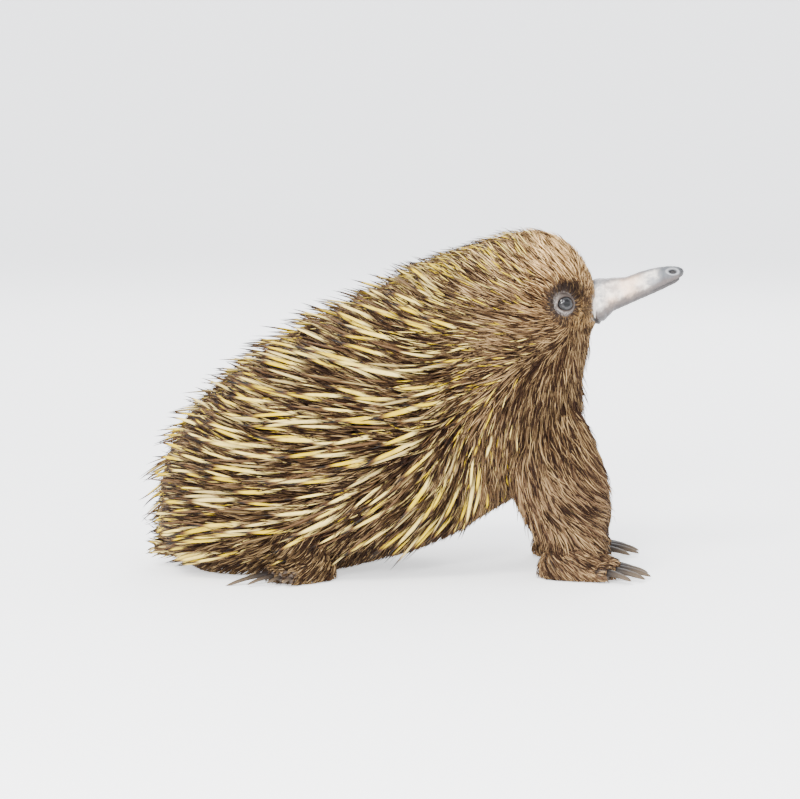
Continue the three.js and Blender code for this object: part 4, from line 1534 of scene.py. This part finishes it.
@dataclass
class Coat:
    """Grows strands from roots on the skin along the lie of the coat, and joins them into pieces."""

    skin_tree: BVHTree
    materials: dict[Cover, bpy.types.Material]
    rng: np.random.Generator
    close: float = 2.4  # how near the finished skin a root has to lie
    most: int = 185000  # triangles in one piece
    stray: tuple[float, float] = (6.5, 4.5)  # degrees off the lie, of a tuft and of a strand in it
    lengths: tuple[float, float] = (0.8, 1.15)  # the least and the most, as shares of the pelt's own length
    rises: tuple[float, float] = (0.72, 1.04)  # the same for the rise of each strand
    tuft_rises: tuple[float, float] = (0.85, 1.1)  # and for that of each tuft
    widths: tuple[float, float] = (0.75, 1.25)
    dark_width: float = 0.55  # how thick dark spines are beside pale ones

    def _level(self, surface: Surface, points: Array) -> Array:
        """How far the skin lies outside the surface at points."""
        return skin_level(points) if isinstance(surface, Profile) else np.zeros(len(points))

    def _roots(self, pelt: Pelt, surface: Surface) -> tuple[Array, Array]:
        """Even places on a surface where a pelt grows and the finished skin is close.

        Args:
            pelt: The stretch of coat.
            surface: The surface that it grows on.

        Returns:
            Their u and v.
        """
        u, v = surface.scatter(self.rng, pelt.along, pelt.apart, pelt.jitter)
        points = surface.at(u, v)
        _, _, normals = surface.slopes(u, v)
        kept = np.asarray(pelt.grows(points, normals)) > self.rng.random(len(u))
        places = in_frame(points + normals * self._level(surface, points)[:, None])
        for i in np.flatnonzero(kept):
            kept[i] = self.skin_tree.find_nearest(Vector(places[i]), self.close * MM)[0] is not None
        return u[kept], v[kept]

    def _way(self, pelt: Pelt, points: Array, normals: Array) -> Array:
        """The way that strands of a pelt lie on the skin.

        Args:
            pelt: The stretch of coat.
            points: Places on the skin.
            normals: The normals there.

        Returns:
            Vectors of length 1 along the skin.
        """
        if pelt.way is None:
            return along_surface(points, normals, pelt.droop)
        return flattened(np.broadcast_to(np.array(pelt.way), points.shape), normals)

    def _walk(self, pelt: Pelt, surface: Surface, u: Array, v: Array, ground: Array, heights: Array,
              stray: Array) -> tuple[Array, Array]:
        """Paths that follow the skin along the lie of the coat.

        Args:
            pelt: The stretch of coat.
            surface: The surface that it grows on.
            u: Where each strand starts.
            v: Where each starts, round.
            ground: How far each goes over the skin.
            heights: Heights over the surface by strand and step.
            stray: The turn of each off the lie, in radians.

        Returns:
            The paths and the ways across them, by strand and step.
        """
        steps = heights.shape[1]
        step = (ground / (steps - 1))[:, None]
        paths, sideways = [], []
        for i in range(steps):
            points = surface.at(u, v)
            du, dv, normals = surface.slopes(u, v)
            way = self._way(pelt, points, normals)
            way = way * np.cos(stray)[:, None] + np.cross(normals, way) * np.sin(stray)[:, None]
            if i == 0:
                start, first, up = points, way, normals
            bent = points + normals * heights[:, i:i + 1]
            straight = start + first * step * i + up * heights[:, i:i + 1]
            paths.append(mixed(straight, bent, pelt.follows))
            sideways.append(np.cross(normals, way))
            # The changes of u and v that carry each strand one step on
            a, b, c = dot(du, du), dot(du, dv), dot(dv, dv)
            p, q = dot(way * step, du), dot(way * step, dv)
            fall = np.maximum(a * c - b * b, 1e-6)
            u = np.clip(u + ((c * p - b * q) / fall)[:, 0], 0.001, 0.999)
            v = v + np.clip((a * q - b * p) / fall, -0.2, 0.2)[:, 0]
        return np.stack(paths, axis=1), np.stack(sideways, axis=1)

    def _tufts(self, pelt: Pelt, points: Array, way: Array) -> Array:
        """Sorts strands into tufts, which are longer along the lie than across it.

        Args:
            pelt: The stretch of coat.
            points: The roots.
            way: The lie at each.

        Returns:
            The number of each strand's tuft.
        """
        drawn = points - way * dot(points, way) * 0.6
        cells = np.floor(drawn / pelt.clump + self.rng.uniform(-0.3, 0.3, points.shape)).astype(int)
        _, tuft = np.unique(cells, axis=0, return_inverse=True)
        return tuft.ravel()

    def grow(self, pelt: Pelt) -> None:
        """Grows one stretch of coat on all its surfaces, in pieces by side.

        Args:
            pelt: The stretch of coat.
        """
        rng = self.rng
        for surface in pelt.surfaces:
            u, v = self._roots(pelt, surface)
            points = surface.at(u, v)
            _, _, normals = surface.slopes(u, v)
            tuft = self._tufts(pelt, points, self._way(pelt, points, normals))
            count, tufts = len(u), tuft.max() + 1
            turned = rng.normal(0, self.stray[0], tufts)[tuft] + rng.normal(0, self.stray[1], count)
            stray = np.radians(turned) * pelt.wild
            length = pelt.length(points, normals) * rng.uniform(*self.lengths, count)
            level = self._level(surface, points)
            rise = pelt.rise(points, normals) * rng.uniform(*self.rises, count)
            rise = rise * rng.uniform(*self.tuft_rises, tufts)[tuft]
            stands = np.clip((lie_at(points) * normals).sum(1), 0, 1)
            if pelt.raised:
                angle = np.maximum(np.arcsin(stands), np.arcsin(np.minimum((rise - level) / length, 0.8)))
                angle = np.minimum(angle, math.radians(pelt.raised))
                length = np.minimum(length, (rise - level) / np.sin(angle))
            else:
                free = rng.random(count) < pelt.loose
                rise, stray = rise * (1 + 0.5 * stands + 0.6 * free), stray * (1 + 0.4 * free)
            rise = np.minimum(rise - level, length * 0.8)
            share = np.linspace(0, 1, pelt.steps)
            heights = level[:, None] + rise[:, None] * share ** pelt.lifts - 1.0 * (1 - share) ** 3
            ground = np.sqrt(length ** 2 - rise ** 2)
            paths, across = self._walk(pelt, surface, u, v, ground, heights, stray)
            shape = np.interp(share, (0, 0.33, 0.67, 1), (*pelt.shape, 0))
            middle, spread = pelt.tone
            tones = rng.normal(0, spread * 0.5, tufts)[tuft] + rng.normal(middle, spread, count)
            sized = rng.uniform(*self.widths, count) * np.sqrt(length / length.mean())
            widths = pelt.half_width * sized[:, None]
            if pelt.cover is Cover.HORN:
                widths *= mixed(self.dark_width, 1, smooth(tones, 0.28, 0.48))[:, None]
            grown = (paths, across, widths * shape, np.clip(tones, 0, 1), np.stack([u, v % 1], axis=1))
            for side in Side:
                self._pieces(pelt, side, points, grown)

    def _pieces(self, pelt: Pelt, side: Side, points: Array, grown: tuple[Array, ...]) -> None:
        """Builds the strands of one side of the body, from rump to head, in pieces that are not too large.

        Args:
            pelt: The stretch of coat.
            side: The side of the body.
            points: The roots.
            grown: What Strands.build takes, for all the strands.
        """
        mine = np.flatnonzero(points[:, 1] * side.value >= 0)
        mine = mine[np.argsort(points[mine, 0])]
        if len(mine) < 10:
            return
        each = (pelt.steps - 2) * pelt.sides * 2 + pelt.sides * 2 - 2
        parts = math.ceil(len(mine) * each / self.most)
        for number, some in enumerate(np.array_split(mine, parts), start=1):
            name = f"{pelt.name}_{side.word}" + (f"_{number}" if parts > 1 else "")
            piece = Strands(name, pelt.sides).build(*(part[some] for part in grown))
            piece.data.materials.append(self.materials[pelt.cover])
            settle(piece)


def head_share(points: Array) -> Array:
    """1 on the head, 0 behind and below it."""
    return smooth(points[:, 0], 70, 100) * smooth(points[:, 2], 150, 184)


def from_eyes(points: Array) -> Array:
    """How far each point is from the nearer eye."""
    return np.minimum(*[np.linalg.norm(points - EYE_PLACES[side], axis=1) for side in Side])


def off_lids(points: Array) -> Array:
    """1 where no lid lies, and 0 on the lids."""
    return (from_eyes(points) > LID_REACH).astype(float)


def underside(points: Array, normals: Array) -> Array:
    """1 under the chest and the belly, 0 on the flanks and above."""
    return smooth(-normals[:, 2], 0.15, 0.6) * smooth(-points[:, 2], -95, -62)


def hair_length(points: Array, normals: Array) -> Array:
    """How long the fur is: shortest by the beak and round the eyes, longest on the chest.

    Args:
        points: Places on the body.
        normals: The normals there.

    Returns:
        Millimetres.
    """
    x, z = points[:, 0], points[:, 2]
    length = mixed(27.0, 19.0, head_share(points))
    length = mixed(length, 12.5, smooth(x, 98, 114) * smooth(z, 172, 190))
    length = mixed(length, 4.6, smooth(x, 116, 131) * smooth(z, 176, 190))
    length = mixed(length, 14.0, underside(points, normals))
    length = mixed(length, 4.6, 1 - smooth(from_eyes(points), 10, 24))
    return length * mixed(1, 0.85, smooth(-z, -48, -18))


def hair_rise(points: Array, normals: Array) -> Array:
    """How far the fur stands off: deep on the neck and chest, low on the face.

    Args:
        points: Places on the body.
        normals: The normals there.

    Returns:
        Millimetres.
    """
    face = short_fur(points) / SHORT_FUR
    crown = 1.6 * smooth(points[:, 0], 62, 78) * smooth(normals[:, 2], 0.3, 0.8)
    deep = mixed(6.0 - crown, SHORT_FUR + 0.4, face) - 4.0 * underside(points, normals)
    return mixed(deep, 1.8, smooth(points[:, 0], 121, 134) * smooth(points[:, 2], 172, 186))


def steady(value: float) -> Measure:
    """The same value everywhere."""
    return lambda points, normals: np.full(len(points), value)


def spine_size(points: Array, normals: Array) -> Array:
    """The size of spines: full on the back, half at the edges."""
    return mixed(0.55, 1, spininess(points, normals))


def nape(points: Array, normals: Array) -> Array:
    """How far a place lies on the nape, where the coat stands deeper."""
    return np.exp(-(((points[:, 0] - 20) / 26) ** 2)) * smooth(normals[:, 2], 0.2, 0.8)


def spine_rise(points: Array, normals: Array) -> Array:
    """How far the tips of spines stand off the frame's core.

    Args:
        points: Places on the body.
        normals: The normals there.

    Returns:
        Millimetres.
    """
    level = mixed(13.5, 22.5, np.maximum(normals[:, 2], 0))
    rear = 22.0 + 3.5 * np.exp(-(((points[:, 2] - 92) / 22) ** 2))
    most = mixed(level, rear, np.maximum(-normals[:, 0], 0))
    return most * spine_size(points, normals) + 5 * nape(points, normals)


def pelts() -> list[Pelt]:
    """All the stretches of coat, spines first.

    Returns:
        The stretches in the order in which they grow.
    """
    trunk = (TRUNK_SURFACE,)
    forelegs = tuple(FORELEG.surface(side) for side in Side)
    hindlegs = tuple(HINDLEG.surface(side) for side in Side)
    tail = (TAIL.surface(),)

    def spiny(points: Array, normals: Array) -> Array:
        """Where large spines grow."""
        return smooth(spininess(points, normals), 0.08, 0.4)

    def bristly(points: Array, normals: Array) -> Array:
        """Where thin spines mix with fur: the neck, the shoulders and the lower edge of the flanks.

        Args:
            points: Places on the body.
            normals: The normals there.

        Returns:
            Chances from 0 to 1.
        """
        x, z, share = points[:, 0], points[:, 2], spininess(points, normals)
        neck = smooth(x, -20, 30) * (1 - smooth(x, 80, 104)) * smooth(z, 30, 60)
        edge = smooth(share, 0.02, 0.3) * (1 - smooth(share, 0.8, 1) * 0.7)
        front = 1 - smooth(x, 60, 96) * (1 - smooth(z, 150, 200)) * 0.8
        return np.maximum(neck * 0.9, edge) * front

    def bristle_length(points: Array, normals: Array) -> Array:
        """Shorter towards the face."""
        length = mixed(36, 19, smooth(points[:, 0], 60, 108) * smooth(points[:, 2], 140, 190))
        return mixed(length, 17, underside(points, normals))

    def bristle_rise(points: Array, normals: Array) -> Array:
        """Just over the fur."""
        level = mixed(9.5, 5.6, short_fur(points) / SHORT_FUR) + 4 * nape(points, normals)
        return mixed(level, 2.5, underside(points, normals))

    def face(points: Array, normals: Array) -> Array:
        """The head, thinning out at the beak, but for the lids.

        Args:
            points: Places on the body.
            normals: Not used.

        Returns:
            Chances from 0 to 1.
        """
        beside = 1 - smooth(np.abs(points[:, 1]), 15.5, 22)
        front = 139.0 - 7.5 * np.exp(-(((points[:, 2] - 198) / 8) ** 4)) * beside
        return head_share(points) * (1 - smooth(points[:, 0] - front, -3, 0.5)) * off_lids(points)

    def neck(points: Array, normals: Array) -> Array:
        """Behind and below the head, down to the chest."""
        here = smooth(points[:, 0], 0, 16) * smooth(points[:, 2], 30, 50)
        return (1 - head_share(points)) * here * (1 - smooth(spininess(points, normals), 0.4, 0.9))

    def belly(points: Array, normals: Array) -> Array:
        """The underside."""
        low = 1 - smooth(points[:, 0], 0, 16) * smooth(points[:, 2], 30, 50)
        return low * (1 - smooth(spininess(points, normals), 0.4, 0.9)) * (points[:, 2] > 1)

    def between(points: Array, normals: Array) -> Array:
        """Among the spines."""
        return smooth(spininess(points, normals), 0.1, 0.6)

    def foreleg_rise(points: Array, normals: Array) -> Array:
        """Deeper by the foot, and flat in front."""
        low = mixed(6.6, 10.0, smooth(-points[:, 2], -52, -26))
        return low * (1 - 0.4 * smooth(normals[:, 0], 0.2, 0.8))

    def above(height: float) -> Measure:
        """Places over a height."""
        return lambda points, normals: (points[:, 2] > height).astype(float)

    made = [
        Pelt("spines", trunk, along=20.5, apart=6.8, grows=spiny, length=lambda p, n: 64 * spine_size(p, n),
             rise=spine_rise, half_width=1.6, steps=9, sides=7, cover=Cover.HORN, shape=(0.55, 1.0, 0.74),
             lifts=1.0, follows=0.45, wild=0.8, clump=1, tone=(0.47, 0.26), raised=40, jitter=0.34),
        Pelt("young_spines", trunk, along=15.0, apart=8.0, grows=spiny,
             length=lambda p, n: 38 * spine_size(p, n), rise=lambda p, n: spine_rise(p, n) * 0.68,
             half_width=0.95, steps=7, sides=5, cover=Cover.HORN, shape=(0.75, 1.0, 0.7), lifts=1.0,
             follows=0.5, clump=1, tone=(0.20, 0.17), raised=40, jitter=0.45),
        Pelt("bristles", trunk, along=7.5, apart=3.1, grows=bristly, length=bristle_length,
             rise=bristle_rise, half_width=0.56, steps=6, sides=4, cover=Cover.HORN, shape=(0.8, 1.0, 0.75),
             lifts=0.8, clump=7, tone=(0.42, 0.25), jitter=0.45),
        Pelt("face_fur", trunk, along=1.25, apart=0.95, grows=face, length=hair_length, rise=hair_rise,
             half_width=0.38, steps=4, clump=4, tone=(0.5, 0.33), loose=0.07),
        Pelt("neck_fur", trunk, along=1.9, apart=1.35, grows=neck, length=hair_length, rise=hair_rise,
             half_width=0.52, tone=(0.47, 0.34), loose=0.08),
        Pelt("belly_fur", trunk, along=3.0, apart=2.2, grows=belly, length=hair_length, rise=steady(3.5),
             half_width=0.6, steps=4, droop=0.15),
        Pelt("underfur", trunk, along=2.8, apart=1.8, grows=between,
             length=lambda p, n: mixed(27.0, 19.0, spininess(p, n)), rise=steady(8.0), half_width=0.6,
             steps=4, clump=7, tone=(0.47, 0.28)),
        Pelt("foreleg_fur", forelegs, along=2.2, apart=1.55, grows=above(13), length=hair_length,
             rise=foreleg_rise, half_width=0.54, tone=(0.49, 0.32), loose=0.08),
        Pelt("hindleg_fur", hindlegs, along=2.2, apart=1.7, grows=above(12), length=steady(14),
             rise=steady(5.0), half_width=0.5, steps=4, droop=0.9),
        Pelt("tail_fur", tail, along=2.2, apart=1.8, grows=above(2), length=steady(13), rise=steady(3.5),
             half_width=0.5, steps=4),
        Pelt("tail_spines", tail, along=7.0, apart=5.0, grows=above(6), length=steady(17), rise=steady(6),
             half_width=1.1, steps=7, sides=6, cover=Cover.HORN, lifts=1.0, follows=0.4, clump=1,
             tone=(0.5, 0.2)),
    ]
    for kind, foot in feet():
        turn = math.radians(foot.turn)
        ahead = (math.cos(turn), math.sin(turn) * foot.side.value)
        pad, toes = (FootTop(foot, foot.pad()),), tuple(FootTop(foot, digit) for digit in foot.digits())
        word = foot.side.word
        made.append(Pelt(
            f"{kind}foot_fur_{word}", pad, along=1.9, apart=1.5, grows=above(3), length=steady(13),
            rise=steady(4.4), half_width=0.5, steps=4, tone=(0.48, 0.29), way=(*ahead, -0.6)))
        made.append(Pelt(
            f"{kind}toe_fur_{word}", toes, along=1.6, apart=1.4, grows=above(2.5), length=steady(7),
            rise=steady(2.2), half_width=0.42, steps=4, clump=4, tone=(0.46, 0.28), way=(*ahead, -0.25)))
    return made


# Beak, eyes and claws

@dataclass
class Beak:
    """The bare beak, with nostrils near its tip, a short mouth under it and folds at its base."""

    rings: int = 230
    sides: int = 128
    mouth_x: float = 190.3
    mouth_z: float = 216.4
    mouth_slope: float = 24.0
    mouth_length: float = 28.0
    lip: float = 1.25  # from the mouth's line to the crest of each lip
    nostril: tuple[float, float] = (193.5, 226)
    tuck: float = 1.2  # how much slimmer the base is, inside the fur
    beak: bpy.types.Object = field(init=False)

    def _mouth(self, x: Array, z: Array) -> tuple[Array, Array]:
        """The mouth, a line that runs back from under the tip.

        Args:
            x: Millimetres along the body, at each point.
            z: Millimetres up.

        Returns:
            How far each point lies in the line and how far on a lip, from 0 to 1.
        """
        tilt = math.radians(self.mouth_slope)
        off = (z - self.mouth_z) * math.cos(tilt) - (x - self.mouth_x) * math.sin(tilt)
        on = (x - self.mouth_x) * math.cos(tilt) + (z - self.mouth_z) * math.sin(tilt)
        open_ = smooth(on, -self.mouth_length / 2, -self.mouth_length / 2 + 6)
        groove = np.exp(-((off / 0.42) ** 2)) * open_
        return groove, np.exp(-(((np.abs(off) - self.lip) / 0.7) ** 2)) * open_

    def _nostrils(self, points: Array) -> tuple[Array, Array]:
        """The nostrils, a slit on each side near the tip.

        Args:
            points: Points of the beak.

        Returns:
            How far each lies in a slit and how far on its rim, from 0 to 1.
        """
        pit, rim = np.zeros(points.shape[:-1]), np.zeros(points.shape[:-1])
        for side in Side:
            x, y, z = np.moveaxis(points - BEAK_SURFACE.nearest(*self.nostril, side)[0], -1, 0)
            across = np.hypot(x / 3.5, np.hypot(y, z) / 1.9)
            pit = np.maximum(pit, np.exp(-(across ** 2) * 1.3))
            rim = np.maximum(rim, np.exp(-(((across - 1.35) / 0.38) ** 2)))
        return pit, rim

    @staticmethod
    def _chin(x: Array, z: Array) -> Array:
        """How far each point lies in the bowed fold under the base."""
        bow = (np.hypot(x - CHIN_FOLD[0], z - CHIN_FOLD[2]) - CHIN_RADIUS) / 0.95
        return np.exp(-(bow ** 2)) * (1 - smooth(z, *CHIN_TOP)) * (1 - smooth(x, CHIN_FOLD[0], 142))

    def build(self) -> bpy.types.Object:
        """Builds the beak.

        Returns:
            The beak, which is also kept as a field.
        """
        u, v = grid(self.rings, self.sides)
        points = BEAK_SURFACE.at(u, v)
        _, _, normals = BEAK_SURFACE.slopes(u, v)
        x, z = points[..., 0], points[..., 2]
        groove, lips = self._mouth(x, z)
        pit, rim = self._nostrils(points)
        chin = self._chin(x, z)
        depth = -1.0 * groove + 0.22 * lips
        depth += 0.3 * rim - 2.0 * smooth(pit, 0.15, 0.8)
        folds = np.sin((x + 0.35 * z) * 1.15) * (1 - smooth(x, 141, 152)) * smooth(-z, -214, -196)
        depth += 0.25 * folds
        depth -= 1.0 * chin
        ripple = np.sin(x * 2.1 + 1.7 * np.sin(v * 6.28 * 2)) * 0.05 + np.sin(x * 0.9 + v * 19) * 0.06
        depth += ripple * (1 - smooth(pit, 0.1, 0.4))
        depth -= self.tuck * (1 - smooth(x, 131, 134.5))
        self.beak = closed_tube("beak_skin", points + normals * depth[..., None])
        # where shade is painted: the mouth's groove, the nostril pits and the fold under the base
        hollow = 0.85 * smooth(groove, 0.25, 0.8) + smooth(pit, 0.22, 0.6) + smooth(chin, 0.25, 0.8)
        store(self.beak, "hollow", np.clip(hollow, 0, 1).ravel())
        store(self.beak, "rim", 0.7 * smooth(rim, 0.3, 0.9).ravel())
        # how far round towards the underside each point lies, for the painted shade there
        store(self.beak, "under", (0.5 - 0.5 * np.cos(2 * np.pi * v)).ravel())
        return self.beak

    def dress(self, finish: BeakFinish) -> None:
        """Gives the beak its finish."""
        self.beak.data.materials.append(finish.material())
        settle(self.beak, ["beak"])


@dataclass
class Eyes:
    """Both eyeballs."""

    balls: list[tuple[Side, bpy.types.Object]] = field(init=False)

    def build(self) -> None:
        """Builds the eyeballs."""
        self.balls = [(side, Eye(side).build()) for side in Side]

    def dress(self, finish: EyeFinish) -> None:
        """Gives the eyes their finish.

        Args:
            finish: The eyes' finish.
        """
        material = finish.material()
        for side, ball in self.balls:
            ball.data.materials.append(material)
            settle(ball, [f"eye_{side.word}"])


@dataclass
class Claws:
    """The claws: broad and spade-like in front, slim behind with one long claw for grooming."""

    bed: float = 4.0  # how far each claw reaches back into its toe
    rings: int = 26
    sides: int = 20
    made: list[tuple[str, bpy.types.Object]] = field(init=False)

    def build(self) -> None:
        """Builds one claw for each toe."""
        self.made = []
        for kind, foot in feet():
            for number, (root, ahead, width, share) in enumerate(foot.toes(), start=1):
                start = root + ahead * foot.length * foot.toe
                name = f"{kind}claw_{foot.side.word}_{number}"
                self.made.append((name, self._claw(foot, start, ahead, width, foot.claw * share)))

    def _claw(self, foot: Foot, start: Array, ahead: Array, width: float, length: float) -> bpy.types.Object:
        """One claw, bent down towards a worn tip.

        Args:
            foot: The foot.
            start: Where the claw leaves its toe.
            ahead: The way it points.
            width: Its width.
            length: Its length from there.

        Returns:
            The object.
        """
        t = np.linspace(0, 1, self.rings)[:, None]
        turn = even_turns(self.sides)
        sideways, up = np.array([-ahead[1], ahead[0], 0]), np.array([0, 0, 1])
        along = -self.bed + (length + self.bed) * t
        drop = -length * 0.19 * np.maximum(along / length, 0) ** 1.7
        middle = start + ahead * along + up * drop
        end = np.sqrt(np.clip(1 - ((t - 0.72) / 0.28).clip(0) ** 2, 0, 1))
        half = width * 0.5 * mixed(0.96, 0.72, t) * np.maximum(end, 0.04)
        tall = width * 0.50 * mixed(1.0, 0.45, t) * np.maximum(end, 0.04)
        cos, sin = np.cos(turn), np.sin(turn)
        height = np.where(sin > 0, sin, sin * 0.45)
        points = middle[:, None] + sideways * (half * cos)[..., None] + up * (tall * height)[..., None]
        points = foot.placed(points)
        points[..., 2] = np.maximum(points[..., 2], FLOOR)
        claw = closed_tube("claw", points)
        store(claw, "along", np.repeat(t[:, 0], self.sides))
        return claw

    def dress(self, finish: ClawFinish) -> None:
        """Gives the claws their finish.

        Args:
            finish: The claws' finish.
        """
        material = finish.material()
        for node, claw in self.made:
            claw.name = f"horn_{node}"
            claw.data.materials.append(material)
            settle(claw, [node])


@dataclass(frozen=True)
class Lamp:
    """A soft square light that faces the animal."""

    name: str
    place: tuple[float, float, float]  # in metres
    size: float  # the length of a side, in metres
    power: float
    colour: tuple[float, float, float]
    aim: tuple[float, float, float] = (0, 0, 0.12)

    def build(self) -> None:
        """Hangs the light."""
        data = bpy.data.lights.new(self.name, "AREA")
        data.size, data.energy, data.color = self.size, self.power, self.colour
        lamp = bpy.data.objects.new(self.name, data)
        lamp.location = self.place
        lamp.rotation_mode = "QUATERNION"
        lamp.rotation_quaternion = (Vector(self.aim) - Vector(self.place)).to_track_quat("-Z", "Y")
        bpy.context.scene.collection.objects.link(lamp)


@dataclass
class Studio:
    """The pale floor, the soft light and the camera."""

    centre_x: float = -12.5
    centre_z: float = 128.0
    shown: float = 608.0  # millimetres across the view at the animal
    distance: float = 2600.0
    elevation: float = 6.0
    floor_radius: float = 6.0  # in metres
    wall: float = 4.0  # the radius in metres of the curve into which the floor rises
    sky: tuple = (0.93, 0.95, 1.0, 1)
    sky_power: float = 1.85
    lamps: tuple[Lamp, ...] = (
        Lamp("key", (-1.1, -1.9, 2.3), 1.1, 124, (1.0, 0.985, 0.95)),
        Lamp("fill", (1.0, -2.5, 1.6), 0.8, 32, (0.95, 0.975, 1.0)),
        Lamp("back", (0.3, 2.2, 1.9), 1.6, 60, (1.0, 1.0, 1.0)),
        Lamp("glint", (-0.3, -2.2, 0.95), 0.3, 62, (1.0, 0.99, 0.97)),
    )

    def _floor(self) -> None:
        """A wide flat floor that curves up all round."""
        rise = np.linspace(0, np.pi / 2, 20)
        flat, wall = self.floor_radius, self.wall
        profile = [(0.02, 0), (flat * 0.5, 0), (flat, 0)]
        profile += [(flat + wall * math.sin(a), wall * (1 - math.cos(a))) for a in rise[1:]]
        round_ = even_turns(96)
        rings = np.array([[(r * math.cos(a), r * math.sin(a), h) for a in round_] for r, h in profile]) / MM
        points = rings.reshape(-1, 3) + np.array([SHIFT, 0, 0])
        floor = mesh_of("floor", points, tube_faces(len(profile), len(round_)))
        shape = bmesh.new()
        shape.from_mesh(floor.data)
        hole = [edge for edge in shape.edges if edge.is_boundary and edge.verts[0].co.length < 1]
        bmesh.ops.holes_fill(shape, edges=hole)
        bmesh.ops.recalc_face_normals(shape, faces=shape.faces)
        bmesh.ops.reverse_faces(shape, faces=shape.faces)
        shape.to_mesh(floor.data)
        shape.free()
        floor.data.materials.append(FloorFinish().material())

    def _sky(self) -> None:
        """An even pale light from all round."""
        world = bpy.data.worlds.new("studio")
        world.use_nodes = True
        colour, strength = world.node_tree.nodes["Background"].inputs[:2]
        colour.default_value, strength.default_value = self.sky, self.sky_power
        bpy.context.scene.world = world

    def _camera(self) -> None:
        """A camera that sees the animal from its right and a little from above."""
        data = bpy.data.cameras.new("camera")
        data.lens = data.sensor_width / 2 / (self.shown / 2 / self.distance)
        data.clip_end = 100
        camera = bpy.data.objects.new("camera", data)
        target = Vector(in_frame(np.array([self.centre_x, 0, self.centre_z])))
        rise = math.radians(self.elevation)
        back = Vector((0, -math.cos(rise), math.sin(rise)))
        camera.location = target + back * self.distance * MM
        camera.rotation_mode = "QUATERNION"
        camera.rotation_quaternion = (-back).to_track_quat("-Z", "Y")
        bpy.context.scene.collection.objects.link(camera)
        bpy.context.scene.camera = camera

    def build(self) -> None:
        """Sets the stage."""
        self._floor()
        for lamp in self.lamps:
            lamp.build()
        self._sky()
        self._camera()


def main() -> None:
    """Builds and dresses the animal piece by piece, logging how many faces each piece has."""
    logging.basicConfig(level=logging.INFO, format="%(name)s: %(message)s")
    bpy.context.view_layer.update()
    Studio().build()
    skin = Skin()
    skin.build()
    skin.dress(SkinFinish())
    bpy.context.view_layer.update()
    skin_tree = BVHTree.FromObject(skin.skin, bpy.context.evaluated_depsgraph_get())
    materials = {Cover.HAIR: FurFinish().material(), Cover.HORN: SpineFinish().material()}
    coat = Coat(skin_tree, materials, np.random.default_rng(SEED))
    for pelt in pelts():
        coat.grow(pelt)
    for part, finish in ((Beak(), BeakFinish()), (Eyes(), EyeFinish()), (Claws(), ClawFinish())):
        part.build()
        part.dress(finish)


if __name__ == "__main__":
    main()
